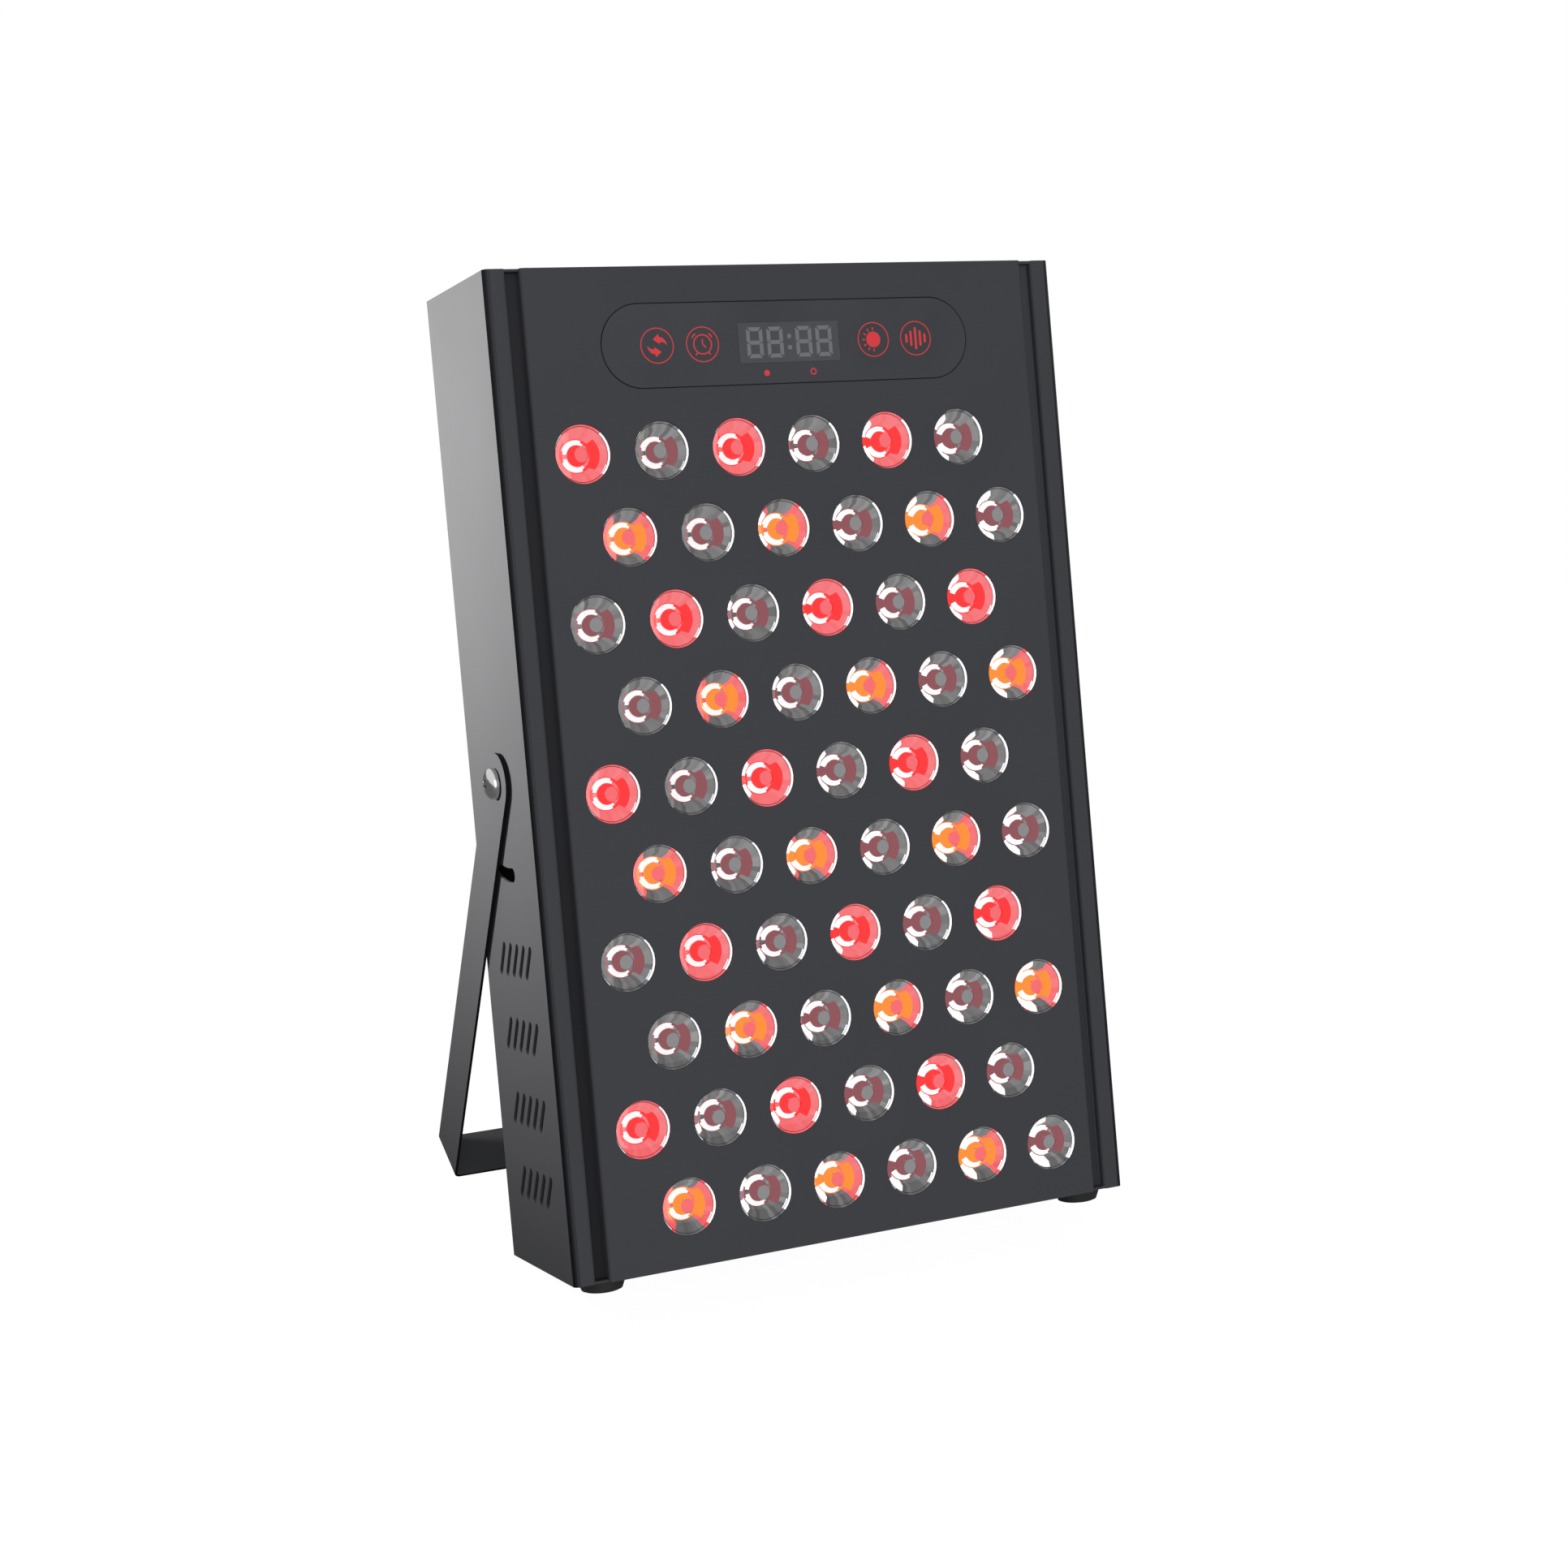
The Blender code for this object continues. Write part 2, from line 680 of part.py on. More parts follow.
def make_controls(panel):
    """The overlay with its window, the display behind it and the board that carries both."""
    front = -SHEET
    flange_front = SEAT
    back = SEAT + OVERLAY_FLANGE_THICKNESS
    middle = (flange_front + back) / 2
    face_width = OVERLAY_WIDTH - 2 * SEAT
    face_height = OVERLAY_HEIGHT - 2 * SEAT
    face = [oval(OVERLAY_SHIFT, OVERLAY_CENTRE, face_width, face_height)]
    flange = [
        oval(
            OVERLAY_SHIFT,
            OVERLAY_CENTRE,
            OVERLAY_WIDTH + 2 * OVERLAY_FLANGE,
            OVERLAY_HEIGHT + 2 * OVERLAY_FLANGE,
        )
    ]
    face_place = (0, (front + middle) / 2, 0)
    overlay = flat("control_overlay", face, middle - front, panel, face_place, FACING_FRONT, OVERLAY_FILM)
    flange_place = (0, (back + flange_front) / 2, 0)
    behind = flat("control_overlay_flange", flange, back - flange_front, panel, flange_place, FACING_FRONT)
    combine(overlay, behind, "UNION")
    opening = [rectangle(OVERLAY_SHIFT, OVERLAY_CENTRE, WINDOW_WIDTH, WINDOW_HEIGHT)]
    through = back - front + 2 * OVERRUN
    through_place = (0, (front + back) / 2, 0)
    cutter = flat("control_overlay_window", opening, through, panel, through_place, FACING_FRONT)
    combine(overlay, cutter, "DIFFERENCE")
    window_width = WINDOW_WIDTH - 2 * SEAT
    window_height = WINDOW_HEIGHT - 2 * SEAT
    box(
        "display_window",
        (OVERLAY_SHIFT - window_width / 2, front, OVERLAY_CENTRE - window_height / 2),
        (OVERLAY_SHIFT + window_width / 2, back, OVERLAY_CENTRE + window_height / 2),
        panel,
        SMOKED_PLASTIC,
    )
    module_width = WINDOW_WIDTH - 2 * DISPLAY_MARGIN
    module_height = WINDOW_HEIGHT - 2 * DISPLAY_MARGIN
    module_front = back + SEAT
    box(
        "display_module",
        (OVERLAY_SHIFT - module_width / 2, module_front, OVERLAY_CENTRE - module_height / 2),
        (OVERLAY_SHIFT + module_width / 2, module_front + DISPLAY_DEPTH, OVERLAY_CENTRE + module_height / 2),
        panel,
        DARK_PLASTIC,
    )
    board_front = control_board_front()
    width = OVERLAY_WIDTH + 2 * OVERLAY_FLANGE + 2 * CONTROL_BOARD_MARGIN
    height = OVERLAY_HEIGHT - 2 * SEAT
    flat(
        "control_board",
        [rectangle(OVERLAY_SHIFT, OVERLAY_CENTRE, width, height, STUD_RADIUS)],
        BOARD_THICKNESS,
        panel,
        (0, board_front + BOARD_THICKNESS / 2, 0),
        FACING_FRONT,
        CIRCUIT_BOARD,
    )


def make_led_board(panel, which, rows):
    """A board with its LEDs, each under a lens that widens towards the front plate."""
    heights = [height for height, lenses in rows]
    half = LENS_PITCH / 2 - BOARD_GAP / 2
    low = min(heights) - half
    high = max(heights) + half
    width = 2 * (LENS_SPAN / 2 + LENS_PITCH / 4 + BOARD_MARGIN)
    outlines = [rectangle(0, (low + high) / 2, width, high - low)]
    outlines += [circle(x, z, STUD_RADIUS + SEAT, HEX_SIDES) for x, z in stud_places(rows)]
    board = flat(
        f"led_board_{which}",
        outlines,
        BOARD_THICKNESS,
        panel,
        (0, BOARD_FRONT + BOARD_THICKNESS / 2, 0),
        FACING_FRONT,
        CIRCUIT_BOARD,
    )
    foot = LENS_HEIGHT + BOARD_THICKNESS / 2
    profile = [
        (0, 0),
        (LENS_RADIUS, 0),
        (LENS_BASE_RADIUS, -LENS_HEIGHT),
        (LENS_BASE_RADIUS, -foot),
        (0, -foot),
    ]
    lens = turned("lens", profile, LENS_SIDES, panel, (0, 0, 0), FACING_FRONT)
    places = [(x, LENS_FRONT, height) for height, lenses in rows for x in lenses]
    combine(board, repeated(f"led_board_{which}_lenses", lens, places, panel), "UNION")


def make_heat_sink(panel):
    """A comb of fins behind both LED boards, extruded along the panel's height."""
    half = HALF_WIDTH - SINK_MARGIN
    fins = 1 + floor((2 * half - FIN_THICKNESS) / FIN_PITCH)
    back = SINK_FRONT + SINK_BASE
    outline = [(-half, SINK_FRONT), (half, SINK_FRONT), (half, back)]
    for fin in range(fins):
        middle = (fins - 1) / 2 * FIN_PITCH - fin * FIN_PITCH
        right = middle + FIN_THICKNESS / 2
        left = middle - FIN_THICKNESS / 2
        outline += [(right, back), (right, FIN_TIP), (left, FIN_TIP), (left, back)]
    outline.append((-half, back))
    rows = [height for height, lenses in lens_rows()]
    low = min(rows) - LENS_PITCH / 2 + BOARD_GAP / 2
    high = max(rows) + LENS_PITCH / 2 - BOARD_GAP / 2
    flat("heat_sink", [outline], high - low, panel, (0, 0, (low + high) / 2), LYING, ALUMINIUM)


def make_driver(panel, side, sign):
    """A sealed LED driver: a rounded case on a base plate with an ear at each end."""
    rear = INSIDE_REAR
    width = DRIVER_OUTER - DRIVER_INNER
    centre = sign * (DRIVER_OUTER + DRIVER_INNER) / 2
    case = box(
        f"driver_{side}",
        (centre - width / 2, rear - DRIVER_DEPTH, PIVOT_HEIGHT - DRIVER_LENGTH / 2),
        (centre + width / 2, rear - DRIVER_BASE / 2, PIVOT_HEIGHT + DRIVER_LENGTH / 2),
        panel,
        GREY_PLASTIC,
        DRIVER_EDGE,
    )
    height = DRIVER_LENGTH + 2 * DRIVER_EAR
    base = flat(
        f"driver_{side}_base",
        [rectangle(centre, PIVOT_HEIGHT, width - 2 * DRIVER_EDGE, height, DRIVER_EDGE)],
        DRIVER_BASE,
        panel,
        (0, rear - DRIVER_BASE / 2, 0),
        FACING_FRONT,
    )
    combine(case, base, "UNION")


def spider_outline():
    """The hub and the four arms that hold the rotor, its arms buried in the frame's corners."""
    reach = FAN_DUCT_RADIUS + FAN_ARM_WIDTH
    hub_half_angle = asin(FAN_ARM_WIDTH / 2 / HUB_RADIUS)
    points = []
    for arm in range(4):
        angle = pi / 4 + arm * pi / 2
        across = (-sin(angle) * FAN_ARM_WIDTH / 2, cos(angle) * FAN_ARM_WIDTH / 2)
        tip = (reach * cos(angle), reach * sin(angle))
        points.append((tip[0] - across[0], tip[1] - across[1]))
        points.append((tip[0] + across[0], tip[1] + across[1]))
        start = angle + hub_half_angle
        points += arc(0, 0, HUB_RADIUS, start, start + pi / 2 - 2 * hub_half_angle, CORNER_SIDES)
    return points


def fan_screw_places(height):
    half = FAN_SCREW_SPACING / 2
    return [(x, height + z) for x in (-half, half) for z in (-half, half)]


def make_fan(panel, which, height):
    """A square frame with a round duct and a spider, and the rotor that turns inside it."""
    outlines = [
        rectangle(0, height, FAN_SIZE, FAN_SIZE, FAN_CORNER),
        circle(0, height, FAN_DUCT_RADIUS, DUCT_SIDES),
    ]
    outlines += [circle(x, z, SMALL_HOLE_RADIUS, SCREW_SIDES) for x, z in fan_screw_places(height)]
    middle = (0, FAN_FRONT + FAN_DEPTH / 2, 0)
    frame = flat(f"fan_frame_{which}", outlines, FAN_DEPTH, panel, middle, FACING_FRONT, DARK_PLASTIC)
    spider = flat(
        f"fan_frame_{which}_spider",
        [moved(spider_outline(), 0, height)],
        FAN_SPIDER_DEPTH,
        panel,
        (0, FAN_FRONT + SEAT + FAN_SPIDER_DEPTH / 2, 0),
        FACING_FRONT,
    )
    combine(frame, spider, "UNION")
    rotor_front = FAN_FRONT + FAN_SPIDER_DEPTH + 2 * SEAT
    rotor_rear = INSIDE_REAR - FAN_FACE_CLEARANCE
    depth = rotor_rear - rotor_front
    axis = new_empty(f"fan_axis_{which}", panel, (0, (rotor_front + rotor_rear) / 2, height), FACING_FRONT)
    edge = arc(HUB_RADIUS - HUB_EDGE, HUB_EDGE - depth / 2, HUB_EDGE, 0, -pi / 2, 2)
    profile = [(0, depth / 2), (HUB_RADIUS, depth / 2), *edge, (0, -depth / 2)]
    rotor = turned(f"fan_rotor_{which}", profile, ROUND_SIDES, axis, (0, 0, 0), LYING, DARK_PLASTIC)
    for number in range(BLADES):
        blade = fan_blade(f"fan_rotor_{which}_blade_{number + 1}", depth, number * 2 * pi / BLADES, axis)
        combine(rotor, blade, "UNION")


def fan_blade(name, depth, start, axis):
    """A curved blade from inside the hub to the tip, pitched from the rotor's front to its rear."""
    roots = HUB_RADIUS - BLADE_THICKNESS
    tip = FAN_DUCT_RADIUS - FAN_TIP_CLEARANCE
    lead = 2 * pi / BLADES * BLADE_LEAD_SHARE
    rise = depth - 2 * HUB_EDGE - BLADE_THICKNESS
    shape = bmesh.new()
    grid = []
    for i in range(BLADE_SPANS + 1):
        radius = roots + (tip - roots) * i / BLADE_SPANS
        turn = start + BLADE_SWEEP * (i / BLADE_SPANS) ** 2
        row = []
        for j in range(BLADE_CHORDS + 1):
            share = j / BLADE_CHORDS
            angle = turn + lead * share
            row.append(shape.verts.new((radius * cos(angle), radius * sin(angle), rise * (0.5 - share))))
        grid.append(row)
    for i in range(BLADE_SPANS):
        for j in range(BLADE_CHORDS):
            shape.faces.new((grid[i][j], grid[i + 1][j], grid[i + 1][j + 1], grid[i][j + 1]))
    mesh = bpy.data.meshes.new(name)
    shape.to_mesh(mesh)
    shape.free()
    blade = new_piece(name, mesh, axis, (0, 0, 0), LYING, None)
    wall = blade.modifiers.new("blade", "SOLIDIFY")
    wall.thickness = BLADE_THICKNESS
    wall.offset = 0
    return blade


def grille_outlines(height):
    """Rings of curved slots, four to a ring, with ribs between them."""
    outlines = []
    for ring in range(GRILLE_RINGS):
        radius = GRILLE_CENTRE + GRILLE_SLOT / 2 + ring * (GRILLE_SLOT + GRILLE_RIB)
        half_rib = asin(GRILLE_RIB / 2 / (radius - GRILLE_SLOT / 2))
        for quarter in range(4):
            start = pi / 4 + quarter * pi / 2 + half_rib
            end = pi / 4 + (quarter + 1) * pi / 2 - half_rib
            outlines.append(curved_slot(0, height, radius, GRILLE_SLOT, start, end, CORNER_SIDES + ring // 2))
    return outlines


def make_rear_cover(panel):
    width = 2 * (HALF_WIDTH - SHEET - SEAT)
    height = BODY_HEIGHT - 2 * (SHEET + SEAT)
    outlines = [rectangle(0, PIVOT_HEIGHT, width, height)]
    for fan_height in FAN_HEIGHTS:
        outlines += grille_outlines(fan_height)
        outlines += [circle(x, z, SMALL_HOLE_RADIUS, SCREW_SIDES) for x, z in fan_screw_places(fan_height)]
    outlines += [circle(x, z, SMALL_HOLE_RADIUS, SCREW_SIDES) for x, z in cover_screw_places()]
    inlet_x, switch_x = power_places()
    outlines.append(rectangle(inlet_x, POWER_HEIGHT, INLET_WIDTH + 2 * SEAT, INLET_HEIGHT + 2 * SEAT))
    outlines.append(rectangle(switch_x, POWER_HEIGHT, SWITCH_WIDTH + 2 * SEAT, SWITCH_HEIGHT + 2 * SEAT))
    middle = COVER_FRONT + SHEET / 2
    flat("rear_cover", outlines, SHEET, panel, (0, middle, 0), FACING_FRONT, STEEL)


def cover_screw_places():
    return [(sign * TAB_SIDE, height) for sign in (-1, 1) for height in TAB_HEIGHTS]


def power_places():
    """The X of the inlet and of the switch, side by side about the middle."""
    return (-POWER_SPACING / 2, POWER_SPACING / 2)


def make_inlet(panel):
    """A three-pin appliance inlet: flange, body, a socket with two cut corners, and its prongs."""
    centre = power_places()[0]
    flange_front = BODY_DEPTH + SEAT
    face = flange_front + INLET_PROUD
    width = INLET_WIDTH + 2 * INLET_FLANGE
    height = INLET_HEIGHT + 2 * INLET_FLANGE
    inlet = flat(
        "power_inlet",
        [rectangle(centre, POWER_HEIGHT, width, height, INLET_FLANGE / 2)],
        INLET_PROUD,
        panel,
        (0, (flange_front + face) / 2, 0),
        FACING_FRONT,
        DARK_PLASTIC,
    )
    block = box(
        "power_inlet_block",
        (centre - INLET_WIDTH / 2, face - INLET_DEPTH, POWER_HEIGHT - INLET_HEIGHT / 2),
        (centre + INLET_WIDTH / 2, face - INLET_PROUD / 2, POWER_HEIGHT + INLET_HEIGHT / 2),
        panel,
    )
    combine(inlet, block, "UNION")
    half_x = INLET_WIDTH / 2 - INLET_WALL
    half_z = INLET_HEIGHT / 2 - INLET_WALL
    mouth = [
        (-half_x, -half_z),
        (half_x, -half_z),
        (half_x, half_z - INLET_CHAMFER),
        (half_x - INLET_CHAMFER, half_z),
        (INLET_CHAMFER - half_x, half_z),
        (-half_x, half_z - INLET_CHAMFER),
    ]
    cavity_front = face - INLET_CAVITY_DEPTH
    cavity = flat(
        "power_inlet_cavity",
        [moved(mouth, centre, POWER_HEIGHT)],
        INLET_CAVITY_DEPTH + OVERRUN,
        panel,
        (0, (cavity_front + face + OVERRUN) / 2, 0),
        FACING_FRONT,
    )
    combine(inlet, cavity, "DIFFERENCE")
    outer = PRONG_SPACING / 2
    step = PRONG_HEIGHT / 2
    for number, (x, z) in enumerate(((-outer, -step), (outer, -step), (0, step)), start=1):
        left = centre + x - PRONG_THICKNESS / 2
        low = POWER_HEIGHT + z - PRONG_HEIGHT / 2
        prong = box(
            f"power_inlet_prong_{number}",
            (left, cavity_front - OVERRUN, low),
            (left + PRONG_THICKNESS, cavity_front + PRONG_LENGTH, low + PRONG_HEIGHT),
            panel,
        )
        combine(inlet, prong, "UNION")


def make_switch(panel):
    """A rocker switch: its body with a well, and the rocker that tilts on a cross pin in the well."""
    centre = power_places()[1]
    flange_front = BODY_DEPTH + SEAT
    face = flange_front + SWITCH_PROUD
    width = SWITCH_WIDTH + 2 * SWITCH_FLANGE
    height = SWITCH_HEIGHT + 2 * SWITCH_FLANGE
    body = flat(
        "switch_body",
        [rectangle(centre, POWER_HEIGHT, width, height, SWITCH_FLANGE)],
        SWITCH_PROUD,
        panel,
        (0, (flange_front + face) / 2, 0),
        FACING_FRONT,
        DARK_PLASTIC,
    )
    block = box(
        "switch_body_block",
        (centre - SWITCH_WIDTH / 2, face - SWITCH_DEPTH, POWER_HEIGHT - SWITCH_HEIGHT / 2),
        (centre + SWITCH_WIDTH / 2, face - SWITCH_PROUD / 2, POWER_HEIGHT + SWITCH_HEIGHT / 2),
        panel,
    )
    combine(body, block, "UNION")
    well_x = SWITCH_WIDTH / 2 - SWITCH_WALL
    well_z = SWITCH_HEIGHT / 2 - SWITCH_WALL
    well_depth = ROCKER_KEEL + ROCKER_WAIST
    well = box(
        "switch_body_well",
        (centre - well_x, face - well_depth, POWER_HEIGHT - well_z),
        (centre + well_x, face + OVERRUN, POWER_HEIGHT + well_z),
        panel,
    )
    combine(body, well, "DIFFERENCE")
    axis = new_empty("rocker_axis", panel, (centre, face - SEAT, POWER_HEIGHT), (ROCKER_TILT, 0, 0))
    reach = (well_z - SEAT) * cos(ROCKER_TILT) - ROCKER_CROWN * sin(ROCKER_TILT)
    shoulder = -ROCKER_WAIST / 2
    heel = -ROCKER_KEEL * ROCKER_KEEL_SHARE
    side = [
        (ROCKER_CROWN, reach),
        (ROCKER_WAIST, 0),
        (ROCKER_CROWN, -reach),
        (shoulder, -reach),
        (heel, -reach / 2),
        (-ROCKER_KEEL, -reach / 4),
        (-ROCKER_KEEL, reach / 4),
        (heel, reach / 2),
        (shoulder, reach),
    ]
    flat("switch_rocker", [side], 2 * (well_x - SEAT), axis, (0, 0, 0), FACING_SIDE, DARK_PLASTIC)


def make_feet(panel):
    bore = SMALL_HOLE_RADIUS
    counterbore = SCREW_HEAD_RADIUS + SEAT
    ledge = FOOT_COUNTERBORE_DEPTH - FOOT_HEIGHT
    ring = [*foot_profile(), (counterbore, -FOOT_HEIGHT), (counterbore, ledge), (bore, ledge), (bore, -SEAT)]
    for side, sign in (("left", -1), ("right", 1)):
        for end, depth in zip(("front", "rear"), FOOT_DEPTHS):
            place = (sign * FOOT_SIDE, depth, 0)
            turned(f"foot_{end}_{side}", ring, ROUND_SIDES, panel, place, LYING, RUBBER, ring=True)
            head_top = (place[0], place[1], ledge - SEAT)
            make_screw(f"foot_screw_{end}_{side}", panel, head_top, (pi, 0, 0))


def screw_profile(head_radius, head_height, shank_radius, shank_length, dome_steps):
    """A pan head above zero with a domed top, and its shank below."""
    wall = head_height / 3
    angles = [pi / 2 * i / dome_steps for i in range(dome_steps + 1)]
    dome = [(head_radius * sin(a), wall + (head_height - wall) * cos(a)) for a in angles]
    return [*dome, (head_radius, 0), (shank_radius, 0), (shank_radius, -shank_length), (0, -shank_length)]


def make_screw(name, panel, place, turn):
    profile = screw_profile(SCREW_HEAD_RADIUS, SCREW_HEAD_HEIGHT, SCREW_RADIUS, SCREW_LENGTH, 1)
    turned(name, profile, SCREW_SIDES, panel, place, turn, BRIGHT_STEEL)


def make_rear_screws(panel):
    outwards = (-pi / 2, 0, 0)
    depth = BODY_DEPTH + SEAT
    for number, (x, z) in enumerate(cover_screw_places(), start=1):
        make_screw(f"cover_screw_{number}", panel, (x, depth, z), outwards)
    for which, height in zip(("lower", "upper"), FAN_HEIGHTS):
        for number, (x, z) in enumerate(fan_screw_places(height), start=1):
            make_screw(f"fan_screw_{which}_{number}", panel, (x, depth, z), outwards)


def make_pivots(panel):
    """On each side a domed screw, the washer between leg and wall, and the nut inside the wall."""
    for side, sign in (("left", -1), ("right", 1)):
        outwards = (0, sign * pi / 2, 0)
        nut_outer = HALF_WIDTH - SHEET - SEAT
        shank_end = nut_outer - PIVOT_NUT_THICKNESS - PIVOT_SHANK_SPARE
        seat = LEG_OUTER + SEAT
        profile = screw_profile(
            PIVOT_HEAD_RADIUS, PIVOT_HEAD_HEIGHT, PIVOT_SHANK_RADIUS, seat - shank_end, DOME_STEPS
        )
        turned(
            f"pivot_screw_{side}",
            profile,
            ROUND_SIDES,
            panel,
            (sign * seat, PIVOT_DEPTH, PIVOT_HEIGHT),
            outwards,
            BRIGHT_STEEL,
        )
        hole = circle(0, 0, PIVOT_HOLE_RADIUS, SMALL_SIDES)
        washer_middle = HALF_WIDTH + SEAT + WASHER_THICKNESS / 2
        flat(
            f"pivot_washer_{side}",
            [circle(0, 0, WASHER_RADIUS, ROUND_SIDES), hole],
            WASHER_THICKNESS,
            panel,
            (sign * washer_middle, PIVOT_DEPTH, PIVOT_HEIGHT),
            outwards,
            DARK_PLASTIC,
        )
        nut_middle = nut_outer - PIVOT_NUT_THICKNESS / 2
        flat(
            f"pivot_nut_{side}",
            [circle(0, 0, PIVOT_NUT_RADIUS, HEX_SIDES), hole],
            PIVOT_NUT_THICKNESS,
            panel,
            (sign * nut_middle, PIVOT_DEPTH, PIVOT_HEIGHT),
            outwards,
            BRIGHT_STEEL,
        )


def make_stand(pivot):
    """One strip bent into a U: a crossbar and two legs with round tops, drawn hanging from the pivot."""
    half = STAND_WIDTH / 2
    bottom = -leg_length() - STAND_SHEET
    shape = bmesh.new()
    weights = shape.edges.layers.float.new("bevel_weight_edge")
    corners = {}
    for sign in (-1, 1):
        low = [shape.verts.new((sign * LEG_OUTER, y, bottom)) for y in (-half, half)]
        top = [shape.verts.new((sign * LEG_OUTER, y, z)) for y, z in arc(0, 0, half, 0, pi, ROUND_SIDES)]
        leg = [low[0], low[1], *top]
        shape.faces.new(leg if sign > 0 else leg[::-1])
        shape.edges.get(low)[weights] = 1
        corners[sign] = low
    left, right = corners[-1], corners[1]
    shape.faces.new((left[0], left[1], right[1], right[0]))
    mesh = bpy.data.meshes.new("stand_bracket")
    shape.to_mesh(mesh)
    shape.free()
    stand = new_piece("stand_bracket", mesh, pivot, (0, 0, 0), LYING, STAND_PAINT)
    fold = stand.modifiers.new("folds", "BEVEL")
    fold.limit_method = "WEIGHT"
    fold.width = STAND_BEND
    fold.segments = CORNER_SIDES
    wall = stand.modifiers.new("sheet", "SOLIDIFY")
    wall.thickness = STAND_SHEET
    wall.offset = -1
    wall.use_even_offset = True
    hole = circle(0, 0, PIVOT_HOLE_RADIUS, SMALL_SIDES)
    through = 2 * (LEG_OUTER + OVERRUN)
    pivots = flat("stand_pivot_holes", [hole], through, pivot, (0, 0, 0), FACING_SIDE)
    combine(stand, pivots, "DIFFERENCE")
    sockets = flat(
        "stand_pin_sockets",
        [circle(0, -GUIDE_RADIUS, GUIDE_PIN_RADIUS + SEAT / 2, SMALL_SIDES)],
        2 * (LEG_INNER + GUIDE_SOCKET_DEPTH),
        pivot,
        (0, 0, 0),
        FACING_SIDE,
    )
    combine(stand, sockets, "DIFFERENCE")


def make_guide_pins(pivot):
    """Headed pins, pressed into the legs from inside, that run in the housing's arc slots."""
    root = LEG_INNER + GUIDE_SOCKET_DEPTH - SEAT
    head_outer = HALF_WIDTH - SHEET - SEAT
    head_inner = head_outer - GUIDE_HEAD_THICKNESS
    profile = [
        (0, 0),
        (GUIDE_PIN_RADIUS, 0),
        (GUIDE_PIN_RADIUS, head_outer - root),
        (GUIDE_HEAD_RADIUS, head_outer - root),
        (GUIDE_HEAD_RADIUS, head_inner - root),
        (0, head_inner - root),
    ]
    for side, sign in (("left", -1), ("right", 1)):
        place = (sign * root, 0, -GUIDE_RADIUS)
        turned(f"guide_pin_{side}", profile, SMALL_SIDES, pivot, place, (0, sign * pi / 2, 0), BRIGHT_STEEL)


clear_scene()
PARTS = new_collection("red_light_therapy_panel")
CUTTERS = new_collection("cutters")

STEEL = finish("housing_powder_coat", (0.085, 0.085, 0.087), 0.45, 0.0)
PLATE_PAINT = finish("plate_powder_coat", (0.055, 0.057, 0.062), 0.5, 0.0)
STAND_PAINT = finish("stand_powder_coat", (0.075, 0.075, 0.075), 0.45, 0.0)
OVERLAY_FILM = finish("overlay_film", (0.05, 0.052, 0.058), 0.35, 0.0)
SMOKED_PLASTIC = finish("smoked_window", (0.08, 0.083, 0.09), 0.15, 0.0)
DARK_PLASTIC = finish("black_plastic", (0.012, 0.012, 0.013), 0.4, 0.0)
GREY_PLASTIC = finish("driver_case", (0.25, 0.25, 0.26), 0.5, 0.0)
CIRCUIT_BOARD = finish("circuit_board", (0.35, 0.36, 0.37), 0.5, 0.0)
ALUMINIUM = finish("aluminium", (0.6, 0.61, 0.62), 0.35, 1.0)
BRIGHT_STEEL = finish("bright_steel", (0.35, 0.35, 0.36), 0.25, 1.0)
RUBBER = finish("foot_rubber", (0.015, 0.015, 0.015), 0.7, 0.0)

LEAN = resting_lean()
PANEL = new_empty("panel_frame", None, panel_place(LEAN), (-LEAN, 0, 0))
STAND = new_empty("stand_pivot", PANEL, (0, PIVOT_DEPTH, PIVOT_HEIGHT), (STAND_ANGLE, 0, 0))

make_housing(PANEL)
make_front_plate(PANEL)
make_controls(PANEL)
for board_name, board in board_rows().items():
    make_led_board(PANEL, board_name, board)
make_heat_sink(PANEL)
make_driver(PANEL, "left", -1)
make_driver(PANEL, "right", 1)
make_fan(PANEL, "lower", FAN_HEIGHTS[0])
make_fan(PANEL, "upper", FAN_HEIGHTS[1])
make_rear_cover(PANEL)
make_inlet(PANEL)
make_switch(PANEL)
make_feet(PANEL)
make_rear_screws(PANEL)
make_pivots(PANEL)
make_stand(STAND)
make_guide_pins(STAND)

print(f"lean {degrees(LEAN):.2f} degrees, leg length {leg_length():.5f} m")
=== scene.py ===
"""Red light therapy panel: sixty lensed LEDs in a folded steel housing, leaning back in a U-shaped stand.

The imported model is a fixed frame, and each operator here builds or finishes one group of pieces on it.
Lengths are in metres. Pieces are drawn in the panel's own frame, with X to the right, Y to the back from
the front strips and Z up along the plate, and their meshes are then moved to where the panel leans.
"""

import json
from contextlib import contextmanager
from math import asin, atan2, cos, degrees, hypot, pi, radians, sin

import bmesh
import bpy
from bpy.props import FloatProperty, FloatVectorProperty, IntProperty, PointerProperty
from mathutils import Matrix, Vector


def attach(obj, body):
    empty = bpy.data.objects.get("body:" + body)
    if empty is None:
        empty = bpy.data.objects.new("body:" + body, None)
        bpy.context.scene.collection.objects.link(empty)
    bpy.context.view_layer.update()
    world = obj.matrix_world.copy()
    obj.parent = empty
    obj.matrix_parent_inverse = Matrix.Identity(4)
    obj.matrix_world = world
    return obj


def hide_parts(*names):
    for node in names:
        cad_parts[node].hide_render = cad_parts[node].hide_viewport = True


bl_info = {
    "name": "Red light therapy panel",
    "version": (1, 0, 0),
    "blender": (4, 5, 0),
    "location": "3D View > Sidebar > Light panel",
    "description": "Builds a table-top red light panel with lensed LEDs, fans and a tilting stand",
    "category": "Add Mesh",
}

